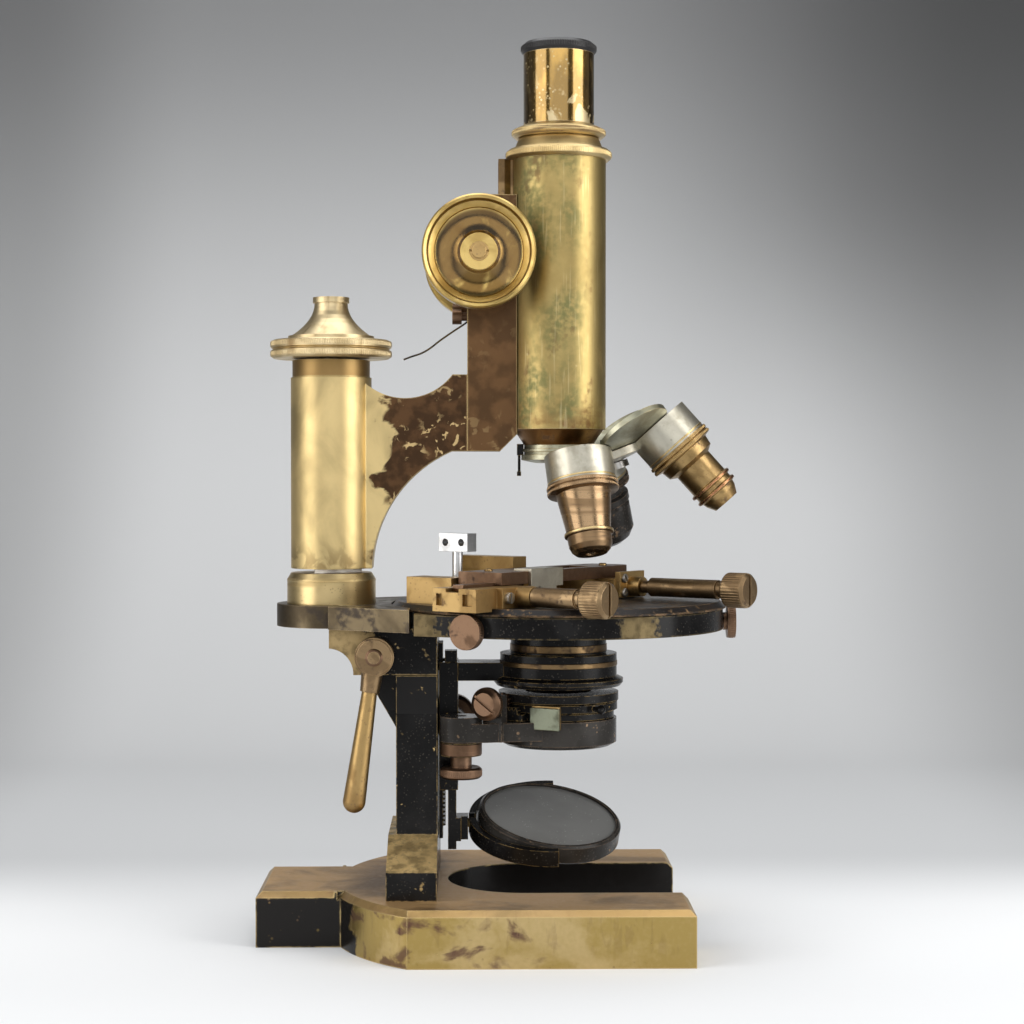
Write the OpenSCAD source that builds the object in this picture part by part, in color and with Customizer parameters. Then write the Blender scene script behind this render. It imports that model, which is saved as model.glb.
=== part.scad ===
/* [Foot] */
// Height of the horseshoe foot
foot_h = 19.6; // [17:0.1:23]
// Bevel along the foot's top edges
foot_bevel = 2.1; // [1:0.1:3]
// Width of the foot across its two legs
foot_w = 115; // [110:1:125]
// Distance from the pillar's axis to the ends of the legs
foot_front = 95.5; // [85:0.5:105]
// Radius of the round back of the foot
foot_back_r = 72; // [68:0.5:76]
// Distance from the pillar's axis to the end of the heel
heel_reach = 56.6; // [50:0.1:65]
// Width of the heel
heel_w = 49; // [44:0.5:54]
// Width of the bay between the legs
bay_w = 55; // [55:0.5:60]

/* [Pillar and hinge] */
// Thickness of the column, front to back
col_t = 14.6; // [13:0.1:15]
// Width of the column
col_w = 40; // [38:0.5:44]
// Height of the column's flat top above the table
col_top = 95.3; // [94:0.1:95.3]
// Width of the plinth
plinth_w = 82; // [74:0.5:88]
// Height of the plinth's upright sides above the foot
plinth_h = 9.9; // [7:0.1:13]
// Height of the sloping shoulders above the plinth
shoulder_h = 9.5; // [6:0.1:12]
// How far the plinth stands back behind the column
plinth_back = 2.8; // [1:0.1:4]
// Width of the hinge tongue
tongue_w = 18; // [14:0.5:20]
// Radius of the inclination pin
pin_r = 3.5; // [2.5:0.1:4]
// Distance of the inclination axis behind the pillar's axis
pivot_back = 14.7; // [14.5:0.1:15.2]
// Height of the inclination axis above the table
pivot_h = 102.5; // [102:0.1:103.5]

/* [Limb] */
// Distance of the fine focus axis behind the pillar's axis
sleeve_back = 31.4; // [31:0.1:32.5]
// Distance of the optical axis in front of the pillar's axis
optic_front = 51; // [50:0.1:51.6]
// Height of the bracket's underside
bracket_z = 112; // [112:0.1:112.6]
// Thickness of the bracket
bracket_t = 8; // [7:0.1:8]
// Radius of the bracket's round boss
boss_r = 19.7; // [18:0.1:21]
// Width of the bracket where it meets the stage
bracket_w = 82; // [76:0.5:86]
// Radius of the fixed stage plate
stage_r = 59.5; // [58.5:0.1:60.5]
// Thickness of the fixed stage plate
stage_t = 7.4; // [6.5:0.1:7.5]
// Radius of the opening through the stage
aperture_r = 15; // [12:0.5:16]

/* [Arm and fine focus] */
// Radius of the arm's sleeve
sleeve_r = 14.6; // [13.5:0.1:15.5]
// Height of the sleeve
sleeve_h = 68.8; // [64:0.1:70]
// Thickness of the curved arm
arm_t = 14; // [10:0.5:18]
// Thickness of the tube guide at the arm's end
guide_w = 17; // [15:0.5:18]
// Length of the tube guide above the arm's lower edge
guide_len = 92; // [86:0.5:94]
// Corner radius of the triangular prism on which the arm slides
prism_r = 11; // [9:0.1:12]
// Radius of the fine focus head
fine_r = 21.8; // [20:0.1:23]
// Thickness of the fine focus head's milled disc
fine_t = 6.6; // [5:0.1:8]
// Height of the bell on the fine focus head
bell_h = 14; // [11:0.1:16]
// Radius of the fine focus screw
fine_screw_r = 3; // [2:0.1:4]

/* [Tube and coarse focus] */
// Radius of the body tube
tube_r = 17.1; // [16.6:0.1:17.4]
// Length of the body tube
tube_len = 97.1; // [92:0.1:100]
// Radius of the collar on top of the body tube
collar_r = 19.1; // [18:0.1:20]
// Width of the dovetail slide behind the tube, at its wide side
slide_w = 12; // [11:0.1:13]
// Radius of the coarse focus knobs
coarse_r = 20; // [18:0.1:20.5]
// Thickness of each coarse focus knob
coarse_t = 8.5; // [7:0.1:10]
// Distance between the outer faces of the two coarse knobs
coarse_span = 56; // [52:0.5:60]
// Teeth of the coarse pinion
coarse_teeth = 15; // [15:1:15]
// Module of the coarse rack and pinion
coarse_module = 0.8; // [0.79:0.01:0.8]
// Radius of the draw tube's milled flange
flange_r = 16.9; // [16:0.1:18]
// Radius of the draw tube
draw_r = 13.1; // [12.8:0.1:13.2]
// Radius of the eyepiece barrel
eye_r = 12.8; // [12.2:0.1:12.8]
// Height of the eyepiece barrel above the flange
eye_h = 25.8; // [20:0.1:32]
// Radius of the eyepiece's black cap
cap_r = 13.6; // [13.2:0.1:14.5]
// Height of the eyepiece's black cap
cap_h = 4; // [3:0.1:5]

/* [Nosepiece] */
// Angle between the revolver's axis and each objective
nose_angle = 21; // [20.5:0.1:21.5]
// Distance from the revolver's apex to the joint between its two shells
nose_reach = 54.4; // [54:0.1:54.8]
// Radius of the revolver's objective drums
drum_r = 12.2; // [11.5:0.1:12.6]
// Height of the revolver's objective drums
drum_h = 9.5; // [8:0.1:10]
// Distance from the apex to the tip of the objective nearest the viewer
near_tip = 90; // [84:0.1:90.4]
// Distance from the apex to the tip of the slim objective
slim_tip = 91; // [86:0.1:91.2]
// Distance from the apex to the tip of the wide objective
wide_tip = 91; // [86:0.1:91.2]
// Gap between the longest objective and the object plate with the tube run down
working_gap = 0.7; // [0.3:0.1:1]

/* [Stage] */
// Radius of the rotating stage disc
disc_r = 60.5; // [59:0.1:61]
// Thickness of the rotating stage disc
disc_t = 2.5; // [2:0.1:2.6]
// Turn of the mechanical stage about the optical axis
cross_turn = -38; // [-42:0.5:-34]
// Width of the moving object plate
plate_w = 18.8; // [17:0.1:20]
// Length of the moving object plate
plate_len = 80.6; // [78:0.1:82]
// Thickness of the moving object plate
plate_t = 4.3; // [4.1:0.1:4.3]
// Radius of the two stage knobs
stage_knob_r = 6.1; // [5.6:0.1:6.1]
// Length of the two stage knobs
stage_knob_len = 9.9; // [8:0.1:11]
// Radius of the stage centring screws' heads
centring_r = 6; // [5.5:0.1:6]

/* [Substage] */
// Length of the fixed substage rack
rack_len = 71; // [68:0.5:72]
// Height of the substage carriage
carriage_h = 46; // [44:0.5:47]
// Radius of the condenser's upper sleeve
condenser_r = 17.4; // [16:0.1:18.5]
// Radius of the condenser's lower flange
condenser_flange_r = 23.5; // [22.5:0.1:24.5]
// Radius of the iris housing
iris_r = 21.8; // [20.5:0.1:22.5]
// Radius of the carrier that holds the iris
carrier_r = 21.1; // [20.8:0.1:22]
// Radius of the swing screw's milled head
swing_r = 7.4; // [6.5:0.1:7.6]

/* [Mirror] */
// Radius of the mirror's frame
mirror_r = 26; // [25:0.1:26]
// Thickness of the mirror's frame
mirror_t = 7; // [6.4:0.1:7.4]
// Distance of the mirror's centre in front of the pillar's axis
mirror_front = 47.6; // [47.6:0.1:48.4]
// Height of the mirror's centre above the table
mirror_h = 39.8; // [39.4:0.1:41]
// Tilt of the mirror's fork about the axis that runs front to back
fork_tilt = 16.5; // [12:0.5:20]
// Tilt of the mirror within its fork
mirror_tilt = 8; // [0:0.5:14]

/* [Clamp] */
// Radius of the clamp's round boss
clamp_r = 6.9; // [6:0.1:7.6]
// Length of the clamp's handle below its collar
handle_len = 43; // [38:0.5:46]
// Lean of the clamp's handle
handle_lean = 8; // [0:0.5:14]

/* [Fits] */
// Radial clearance of shafts and pins in their bores
fit = 0.05; // [0.03:0.01:0.08]
// Clearance of slides in their guides
slide_gap = 0.1; // [0.08:0.01:0.2]
// Gap between bodies that move past each other
gap = 0.3; // [0.25:0.05:0.35]

/* [Hidden] */
$fn = 64;
eps = 0.02;
foot_half = foot_w / 2;
bay_r = bay_w / 2;
foot_back_x = 41;
bay_x = foot_front - 57.2;
col_front = col_t / 2;
pivot = [-pivot_back, 0, pivot_h];
sleeve_x = -sleeve_back;
block_back = sleeve_x + 0.4;
block_bottom = col_top + gap;
block_top = bracket_z;
slot_w = tongue_w + 2 * gap;
tongue_r = 7.5;
bracket_top = bracket_z + bracket_t;
bracket_front = -2;
slot_gap = 1.6;
stage_back = bracket_front + slot_gap;
stage_z = block_top - 1;
stage_top = stage_z + stage_t;
disc_z = stage_top + gap;
disc_top = disc_z + disc_t;
collar_h = 11.1;
collar_base_r = sleeve_r + 1.4;
sleeve_z = bracket_top + collar_h + slide_gap + 1.5;
sleeve_top = sleeve_z + sleeve_h;
neck_h = 6.2;
neck_top = sleeve_top + neck_h;
cap_wall = 4.7;
post_top = neck_top - cap_wall - 13;
fine_z = neck_top + 0.7;
arm_low = sleeve_z + 42.2;
guide_back = optic_front - tube_r - 16;
guide_top = arm_low + guide_len;
guide_front = optic_front - 14.3;
bed_top = disc_top + 7;
plate_z = bed_top + gap;
plate_top = plate_z + plate_t;
// Longest objective, which clears the object plate by the working gap when it is in use
longest_tip = max(near_tip, slim_tip, wide_tip);
apex_z = plate_top + working_gap + longest_tip;
tube_z = apex_z - 41.7;
tube_top = tube_z + tube_len;
slide_back = optic_front - tube_r - 4.8;
pinion_pitch = coarse_module * coarse_teeth / 2;
rack_line = slide_back - 0.2 - coarse_module;
pinion_x = rack_line - pinion_pitch;
pinion_z = 244.7;
shaft_r = 2.5;
apex = [optic_front, 0, apex_z];
mirror_c = [mirror_front, 0, mirror_h];
rack_x = col_front + gap;
carriage_x = rack_x + 2.7;
carriage_z = 53;
swing = [15.7, -18.2, 72];

brass = "goldenrod";
dull_brass = "darkgoldenrod";
black = "dimgray";
copper = "peru";
nickel = "silver";

// Ring or disc between two heights
module ring(r, z0, z1, hole = 0) {
    difference() {
        translate([0, 0, z0]) cylinder(r = r, h = z1 - z0);
        if (hole > 0) translate([0, 0, z0 - 1]) cylinder(r = hole, h = z1 - z0 + 2);
    }
}

// Box given by its lowest and highest corners
module block(low, high) {
    translate(low) cube(high - low);
}

// Shaft along Y between two places
module shaft_y(r, y0, y1) {
    translate([0, y0, 0]) rotate([-90, 0, 0]) cylinder(r = r, h = y1 - y0);
}

// Shaft along X between two places
module shaft_x(r, x0, x1) {
    translate([x0, 0, 0]) rotate([0, 90, 0]) cylinder(r = r, h = x1 - x0);
}

// Turned part from its radius and height pairs
module turned(profile) {
    rotate_extrude() polygon(profile);
}

// Outline in X and Z, given its thickness about Y = 0
module plate_xz(y0, y1) {
    translate([0, y1, 0]) rotate([90, 0, 0]) linear_extrude(y1 - y0) children();
}

// Screw with a slotted head; the head's face is at the origin, looking along +Z
module slotted_screw(head_r, head_h, shank_r, length) {
    difference() {
        union() {
            translate([0, 0, -head_h]) cylinder(r = head_r, h = head_h);
            translate([0, 0, -length]) cylinder(r = shank_r, h = length - head_h / 2);
        }
        translate([-head_r - 1, -head_r * 0.12, -head_h * 0.45])
            cube([2 * head_r + 2, head_r * 0.24, head_h]);
    }
}

// Involute flank: radius and angle at a roll angle t
function involute(base, t) = base * [cos(t) + t * PI / 180 * sin(t), sin(t) - t * PI / 180 * cos(t)];
function turn(p, a) = [p[0] * cos(a) - p[1] * sin(a), p[0] * sin(a) + p[1] * cos(a)];

// Spur gear outline with straight pressure angle and backlash
module gear_outline(teeth, module_size, addendum, backlash) {
    pitch = teeth * module_size / 2;
    base = pitch * cos(20);
    tip = pitch + addendum;
    root = pitch - module_size * 1.15;
    roll = function(r) r <= base ? 0 : sqrt((r / base) * (r / base) - 1) * 180 / PI;
    at_pitch = roll(pitch) - atan(roll(pitch) * PI / 180);
    half_tooth = 90 / teeth - backlash / pitch * 180 / PI / 2;
    shift = half_tooth + at_pitch;
    steps = 5;
    low = max(root, base);
    flank = [for (i = [0:steps]) involute(base, roll(low + (tip - low) * i / steps))];
    points = [for (k = [0:teeth - 1])
        each concat(
            [turn([root, 0], 360 / teeth * k - shift)],
            [for (p = flank) turn(p, 360 / teeth * k - shift)],
            [for (i = [steps:-1:0]) turn([flank[i][0], -flank[i][1]], 360 / teeth * k + shift)],
            [turn([root, 0], 360 / teeth * k + shift)])];
    polygon(points);
}

// Rack teeth along +Y of the outline, their pitch line at x = 0 and their tips towards -X
module rack_outline(pitch, count, addendum, dedendum, body, backlash) {
    width = pitch / 2 - backlash;
    for (k = [0:count - 1])
        translate([0, (k - (count - 1) / 2) * pitch])
            polygon([
                [-addendum, -width / 2 + addendum * tan(20)], [-addendum, width / 2 - addendum * tan(20)],
                [dedendum + eps, width / 2 + dedendum * tan(20)],
                [dedendum + eps, -width / 2 - dedendum * tan(20)]]);
    translate([dedendum, -count * pitch / 2]) square([body, count * pitch]);
}

// Outline of the foot seen from above
module foot_outline() {
    difference() {
        union() {
            translate([0, -foot_half]) square([foot_front, foot_w]);
            intersection() {
                translate([foot_back_x, 0]) circle(r = foot_back_r);
                translate([foot_back_x - foot_back_r, -foot_half]) square([foot_back_r, foot_w]);
            }
            translate([-heel_reach, -heel_w / 2]) square([heel_reach, heel_w]);
        }
        translate([bay_x, 0]) circle(r = bay_r);
        translate([bay_x, -bay_r]) square([foot_front, bay_w]);
    }
}

// Bevel along a straight top edge that runs in +X from the origin
module edge_bevel(length) {
    side = foot_bevel * sqrt(2);
    rotate([45, 0, 0]) translate([-1, -side / 2, -side / 2]) cube([length + 2, side, side]);
}

module foot() {
    back_corner = foot_back_x - sqrt(foot_back_r * foot_back_r - foot_half * foot_half);
    color(dull_brass) difference() {
        linear_extrude(foot_h) foot_outline();
        for (side = [-1, 1]) {
            translate([back_corner, side * foot_half, foot_h]) scale_side(side)
                edge_bevel(foot_front - back_corner);
            translate([-heel_reach, side * heel_w / 2, foot_h]) scale_side(side)
                edge_bevel(heel_reach - 30);
        }
        for (side = [-1, 1]) translate([foot_front, side < 0 ? -foot_half : bay_r, foot_h])
            rotate([0, 0, 90]) edge_bevel(foot_half - bay_r);
        translate([-heel_reach, heel_w / 2, foot_h]) rotate([0, 0, -90]) edge_bevel(heel_w);
        difference() {
            translate([foot_back_x, 0, 0]) turned([
                [foot_back_r - foot_bevel, foot_h + eps], [foot_back_r + 1, foot_h + eps],
                [foot_back_r + 1, foot_h - foot_bevel - 1], [foot_back_r, foot_h - foot_bevel]]);
            block([-foot_back_r, -heel_w / 2 + foot_bevel, 0],
                [foot_back_x + foot_back_r, heel_w / 2 - foot_bevel, foot_h + 1]);
            block([back_corner, -foot_w, 0], [foot_back_x + foot_back_r + 1, foot_w, foot_h + 1]);
        }
        for (y = bolt_places) translate([-1.2, y, 0]) {
            translate([0, 0, -1]) cylinder(r = 2.1, h = foot_h + 2);
            translate([0, 0, -1]) cylinder(r = 4.2, h = 5);
        }
    }
}

bolt_places = [-28, 28];

// Mirror a child to the far side
module scale_side(side) {
    if (side < 0) children();
    else mirror([0, 1, 0]) children();
}

module pillar() {
    shoulder_top = foot_h + plinth_h + shoulder_h;
    color(black) difference() {
        union() {
            translate([-col_front - plinth_back, 0, 0]) rotate([90, 0, 90])
                linear_extrude(col_t + plinth_back + 0.1) polygon([
                    [-plinth_w / 2, foot_h], [-plinth_w / 2, foot_h + plinth_h], [-col_w / 2, shoulder_top],
                    [col_w / 2, shoulder_top], [plinth_w / 2, foot_h + plinth_h], [plinth_w / 2, foot_h]]);
            block([-col_front, -col_w / 2, foot_h + 1], [col_front, col_w / 2, col_top]);
            plate_xz(-tongue_w / 2, tongue_w / 2) difference() {
                union() {
                    translate([pivot[0], pivot[2]]) circle(r = tongue_r);
                    polygon([
                        [pivot[0] - tongue_r * 0.8, pivot[2] - tongue_r * 0.6],
                        [-col_front + 1, col_top - 22],
                        [-col_front + 1, col_top], [pivot[0] + tongue_r + 3, col_top],
                        [pivot[0] + tongue_r - 1.4, pivot[2] + 3.5]]);
                }
            }
        }
        translate(pivot) shaft_y(pin_r, -tongue_w, tongue_w);
        for (y = bolt_places) translate([-1.2, y, foot_h - 1]) cylinder(r = 1.7, h = 9);
    }
}

module pillar_bolts() {
    color(nickel) for (y = bolt_places) translate([-1.2, y, 0.6]) {
        cylinder(r = 3.9, h = 3.2);
        cylinder(r = 1.7 - fit, h = foot_h + 6);
    }
}

module hinge_pin() {
    color(dull_brass) translate(pivot) {
        shaft_y(stub_r, -col_w / 2 - 9.4, -col_w / 2 + 1);
        shaft_y(pin_r, -col_w / 2, col_w / 2 + 0.3);
        shaft_y(pin_r + 2.4, col_w / 2 + 0.2, col_w / 2 + 3.6);
    }
}

module hinge_block() {
    color(black) difference() {
        plate_xz(-col_w / 2, col_w / 2) difference() {
            polygon([
                [block_back, block_top], [block_back, block_bottom], [col_front, block_bottom],
                [col_front, stage_z], [bracket_front + slot_gap / 2, stage_z],
                [bracket_front + slot_gap / 2, block_top]]);
            translate([block_back - 0.4, block_bottom + 0.4]) circle(r = 9);
        }
        plate_xz(-slot_w / 2, slot_w / 2) union() {
            translate([pivot[0], pivot[2]]) circle(r = tongue_r + gap);
            polygon([
                [block_back - 5, block_bottom - 1], [col_front + 1, block_bottom - 1],
                [col_front + 1, block_bottom + 3], [pivot[0] + tongue_r + 2, pivot[2] + 5],
                [pivot[0], pivot[2] + tongue_r + gap], [block_back - 5, pivot[2] + tongue_r + gap]]);
        }
        translate(pivot) shaft_y(pin_r + fit, -col_w, col_w);
        for (p = screw_places) translate([p[0], p[1], block_bottom + 5])
            cylinder(r = 1.5, h = block_top - block_bottom);
    }
}

screw_places = [[-26, -14], [-26, 14], [3.5, -14], [3.5, 14]];

module stage_screws() {
    color(nickel) for (p = screw_places) translate([p[0], p[1], p[0] < 0 ? bracket_top : stage_top])
        slotted_screw(2.6, 1.8, 1.5 - fit, p[0] < 0 ? 14 : 12);
}

// Seats in the bracket and the stage for the screws that hold them down
module screw_seats(top) {
    for (p = screw_places) translate([p[0], p[1], 0]) {
        translate([0, 0, top - 1.8]) cylinder(r = 2.6 + fit, h = 5);
        translate([0, 0, top - 12]) cylinder(r = 1.5, h = 20);
    }
}

module limb_bracket() {
    color(dull_brass) difference() {
        union() {
            translate([sleeve_x, 0, bracket_z]) cylinder(r = boss_r, h = bracket_t);
            translate([0, 0, bracket_z]) linear_extrude(bracket_t) polygon([
                [block_back, -24], [bracket_front, -bracket_w / 2],
                [bracket_front, bracket_w / 2], [block_back, 24]]);
        }
        screw_seats(bracket_top);
        translate([optic_front, 0, stage_top]) cylinder(r = disc_r + gap, h = 10);
        translate([sleeve_x, 0, bracket_z - 1]) cylinder(r = 9, h = bracket_t + 2);
    }
}

module stage_plate() {
    neck = 18;
    neck_y = sqrt(stage_r * stage_r - (optic_front - neck) * (optic_front - neck));
    color(black) difference() {
        intersection() {
            union() {
                translate([optic_front, 0, stage_z]) cylinder(r = stage_r, h = stage_t);
                translate([0, 0, stage_z]) linear_extrude(stage_t) polygon([
                    [stage_back, -bracket_w / 2], [neck, -neck_y],
                    [neck, neck_y], [stage_back, bracket_w / 2]]);
            }
            block([stage_back, -stage_r - 1, stage_z - 1],
                [optic_front + stage_r + 1, stage_r + 1, stage_top + 1]);
        }
        translate([optic_front, 0, stage_z - 1]) cylinder(r = aperture_r + 5, h = stage_t + 2);
        screw_seats(stage_top);
        for (a = centring_angles) centring_frame(a) shaft_x(1.5 + fit, stage_r - 12, stage_r + 5);
    }
}

centring_angles = [-122, -2];
// Frame at the optical axis, turned so that +X points along a centring screw
module centring_frame(a) {
    translate([optic_front, 0, stage_z + 2.3]) rotate([0, 0, a]) children();
}

// Stage centring screw
module centring_screw(a) {
    color(copper) centring_frame(a) {
        shaft_x(1.5, stage_r - 11, stage_r + 3);
        shaft_x(3.2, stage_r + gap, stage_r + 2);
        shaft_x(centring_r, stage_r + 1.6, stage_r + 4.6);
    }
}
module centring_near() { centring_screw(centring_angles[0]); }
module centring_front() { centring_screw(centring_angles[1]); }

module pillar_collar() {
    color(brass) translate([sleeve_x, 0, 0]) difference() {
        turned([
            [0, bracket_z + 0.4], [9 - fit, bracket_z + 0.4],
            [9 - fit, bracket_top], [collar_base_r, bracket_top],
            [collar_base_r, bracket_top + collar_h - 2.3], [sleeve_r, bracket_top + collar_h],
            [0, bracket_top + collar_h]]);
        translate([0, 0, bracket_top + 1]) cylinder(r = prism_r, h = 40, $fn = 3);
    }
}

module prism_post() {
    color(nickel) translate([sleeve_x, 0, 0]) difference() {
        translate([0, 0, bracket_top + 1])
            cylinder(r = prism_r - eps, h = post_top - bracket_top - 1, $fn = 3);
        translate([0, 0, post_top - 4]) cylinder(r = fine_screw_r + 1, h = 5);
    }
}

// Round wire bent along a helix
function helix_ring(r, a, z, wire, sides) = [for (s = [0:sides - 1]) let (b = 360 * s / sides)
    [(r + wire * cos(b)) * cos(a), (r + wire * cos(b)) * sin(a), z + wire * sin(b)]];
module coil(r, wire, z0, z1, turns, sides = 6, per_turn = 14) {
    rings = turns * per_turn;
    points = [for (k = [0:rings])
        each helix_ring(r, 360 * k / per_turn, z0 + (z1 - z0) * k / rings, wire, sides)];
    sheath = [for (k = [0:rings - 1], s = [0:sides - 1])
        let (a = k * sides + s, b = k * sides + (s + 1) % sides) [a, a + sides, b + sides, b]];
    polyhedron(points, concat(
        [[for (s = [0:sides - 1]) s]], sheath, [[for (s = [sides - 1:-1:0]) rings * sides + s]]));
}

module focus_spring() {
    wire = 0.5;
    color(nickel) translate([sleeve_x, 0, 0])
        coil(fine_screw_r + 1.6, wire, post_top + wire + 0.1, neck_top - cap_wall - wire - 0.1, 5);
}

module clamp_boss() {
    front = -col_w / 2 - gap;
    color(brass) translate(pivot) difference() {
        union() {
            shaft_y(clamp_r, front - 7, front - 1);
            shaft_y(clamp_r - 0.7, front - 8, front);
            translate([0, front - 4, 0]) rotate([0, handle_lean, 0]) translate([0, 0, -12.5])
                cylinder(r1 = 3.4, r2 = 3.9, h = 8);
        }
        shaft_y(stub_r + fit, -col_w, col_w);
    }
}

stub_r = 2.2;

module clamp_handle() {
    top_r = 2.7;
    end_r = 4;
    color(brass) translate(pivot) translate([0, -col_w / 2 - gap - 4, 0]) rotate([0, handle_lean, 0]) {
        translate([0, 0, -12.5 - handle_len + end_r])
            cylinder(r1 = end_r, r2 = top_r, h = handle_len - end_r);
        translate([0, 0, -12.5 - handle_len + end_r]) sphere(r = end_r);
    }
}

// Side view of the arm: two sweeping arcs between the sleeve and the tube guide
module arm_outline() {
    upper = [-4.5, sleeve_z + 82.7];
    upper_r = 21.4;
    lower = [31.5, sleeve_z - 1.8];
    lower_r = 48;
    lower_end = 12.6;
    difference() {
        polygon([
            [sleeve_x, sleeve_z], [sleeve_x, sleeve_top + 1], [guide_back + 0.5, sleeve_top + 1],
            [guide_back + 0.5, arm_low], [lower_end, arm_low], [0, sleeve_z]]);
        translate(upper) circle(r = upper_r);
        intersection() {
            translate(lower) circle(r = lower_r);
            translate([-100, 0]) square([100 + lower_end, 300]);
        }
    }
}

// Outline of the dovetail seen from above, widened by a clearance
module dovetail(g) {
    back = slide_w / 2 + g;
    front = slide_w / 2 - 1.6 + g;
    polygon([
        [slide_back - g, -back], [slide_back + 2.2 + g, -back],
        [slide_back + 4.4 + g, -front], [guide_front, -front],
        [guide_front, front], [slide_back + 4.4 + g, front],
        [slide_back + 2.2 + g, back], [slide_back - g, back]]);
}

pinion_room = pinion_pitch + coarse_module + 0.35;
tension_places = [[-4.2, 223.4], [4.2, 226]];

module arm() {
    corner = 7;
    color(dull_brass) difference() {
        union() {
            translate([sleeve_x, 0, 0]) {
                ring(sleeve_r, sleeve_z, sleeve_top);
                ring(sleeve_r - 0.6, sleeve_top, neck_top);
            }
            plate_xz(-arm_t / 2, arm_t / 2) arm_outline();
            plate_xz(-guide_w / 2, guide_w / 2) polygon([
                [guide_back, arm_low], [guide_front - corner, arm_low], [guide_front, arm_low + corner],
                [guide_front, guide_top], [guide_back, guide_top]]);
        }
        translate([sleeve_x, 0, sleeve_z - 1])
            cylinder(r = prism_r + 2 * slide_gap, h = neck_top - cap_wall - sleeve_z + 1, $fn = 3);
        translate([sleeve_x, 0, sleeve_z]) cylinder(r = fine_screw_r + fit, h = sleeve_h + neck_h + 1);
        translate([optic_front, 0, arm_low - 1]) cylinder(r = tube_r + gap, h = guide_len + 2);
        translate([0, 0, arm_low - 1]) linear_extrude(guide_len + 2) dovetail(slide_gap);
        block([pinion_x, -3.4, arm_low - 1], [slide_back + 1, 3.4, guide_top + 1]);
        translate([pinion_x, 0, pinion_z]) {
            shaft_y(pinion_room, -5, 5);
            shaft_y(shaft_r + fit, -guide_w, guide_w);
        }
        for (p = tension_places) translate([0, p[0], p[1]]) shaft_x(1.6, guide_back - 5, guide_back + 6);
    }
}

module pinion_box() {
    color(dull_brass) plate_xz(-guide_w / 2, guide_w / 2) difference() {
        intersection() {
            translate([pinion_x, pinion_z]) circle(r = pinion_room + 2.4);
            translate([0, pinion_z - 20]) square([guide_back, 40]);
        }
        translate([pinion_x, pinion_z]) circle(r = pinion_room);
    }
}

module guide_screws() {
    color(brass) for (p = tension_places) translate([guide_back - 5.4, p[0], p[1]]) rotate([0, -90, 0])
        slotted_screw(2.8, 3.4, 1.6 - fit, 10);
}

module fine_head() {
    bell_foot = 14.5;
    bell_neck = 6;
    rise = bell_h - 2;
    steps = 8;
    bell = [for (i = [0:steps]) let (t = i / steps)
        [bell_neck + (bell_foot - bell_neck) * pow(1 - t, 2.1), fine_z + fine_t + 1.5 + rise * t]];
    mid = fine_z + fine_t / 2;
    color(brass) translate([sleeve_x, 0, 0]) difference() {
        turned(concat([
            [0, fine_z], [fine_r - 1, fine_z], [fine_r, fine_z + 0.8],
            [fine_r, mid - 0.6], [fine_r - 0.9, mid], [fine_r, mid + 0.6],
            [fine_r, fine_z + fine_t - 0.8], [fine_r - 1, fine_z + fine_t],
            [bell_foot + 1, fine_z + fine_t], [bell_foot + 1, fine_z + fine_t + 1.5]],
            bell,
            [[bell_neck + 0.6, fine_z + fine_t + 1.5 + rise],
            [bell_neck + 0.6, fine_z + fine_t + bell_h + 1.5],
            [0, fine_z + fine_t + bell_h + 1.5]]));
        translate([0, 0, fine_z - 1]) cylinder(r = fine_screw_r, h = fine_t + 2);
    }
}

module fine_screw() {
    color(nickel) translate([sleeve_x, 0, post_top - 3.9])
        cylinder(r = fine_screw_r - eps, h = fine_z + fine_t - post_top + 4.5);
}

module body_tube() {
    color(brass) translate([optic_front, 0, 0]) ring(tube_r, tube_z, tube_top, tube_r - 1.6);
}

module tube_slide() {
    pitch = PI * coarse_module;
    count = 24;
    color(dull_brass) difference() {
        union() {
            translate([0, 0, tube_z + 1.5]) linear_extrude(tube_len - 1.5) dovetail(0);
            plate_xz(-3, 3) translate([rack_line, pinion_z - 9 * pitch])
                rack_outline(pitch, count, coarse_module * 0.9, slide_back - rack_line, 0.2, 0.1);
        }
        translate([optic_front, 0, tube_z]) cylinder(r = tube_r, h = tube_len + 1);
    }
}

tube_collar_h = 7.7;
module tube_collar() {
    z = tube_top;
    color(brass) translate([optic_front, 0, 0]) difference() {
        turned([
            [0, z], [collar_r - 1.2, z], [collar_r, z + 1], [collar_r, z + 2.8], [collar_r - 1, z + 3.8],
            [tube_r - 0.8, z + 3.8], [draw_r + 1.5, z + tube_collar_h], [0, z + tube_collar_h]]);
        translate([0, 0, z - 1]) cylinder(r = draw_r + fit, h = tube_collar_h + 2);
    }
}

module nose_cone() {
    color(brass) translate([optic_front, 0, 0]) difference() {
        turned([
            [0, tube_z - 5.6], [12.5, tube_z - 5.6],
            [tube_r - 1.1, tube_z - 0.4], [tube_r - 0.6, tube_z], [0, tube_z]]);
        translate([0, 0, tube_z - 8]) cylinder(r = 9, h = 12);
    }
}

// Frame at the revolver's apex; an objective at the given place points along -Z
module nose_frame(place) {
    translate(apex) rotate([0, -nose_angle, 0]) rotate([0, 0, place])
        rotate([0, -nose_angle, 0]) children();
}
near_place = -130;
slim_place = -10;
wide_place = 110;
pivot_screw_r = 2.4;

// Dome between two radii about the apex, cut to round lobes
module dome(inner, outer, lobe, places, middle) {
    intersection() {
        translate(apex) difference() {
            sphere(r = outer);
            sphere(r = inner);
        }
        union() {
            for (p = places) nose_frame(p) translate([0, 0, -outer - 9]) cylinder(r = lobe, h = outer);
            translate(apex) rotate([0, -nose_angle, 0]) translate([0, 0, -outer - 9])
                cylinder(r = middle, h = outer);
        }
    }
}

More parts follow.
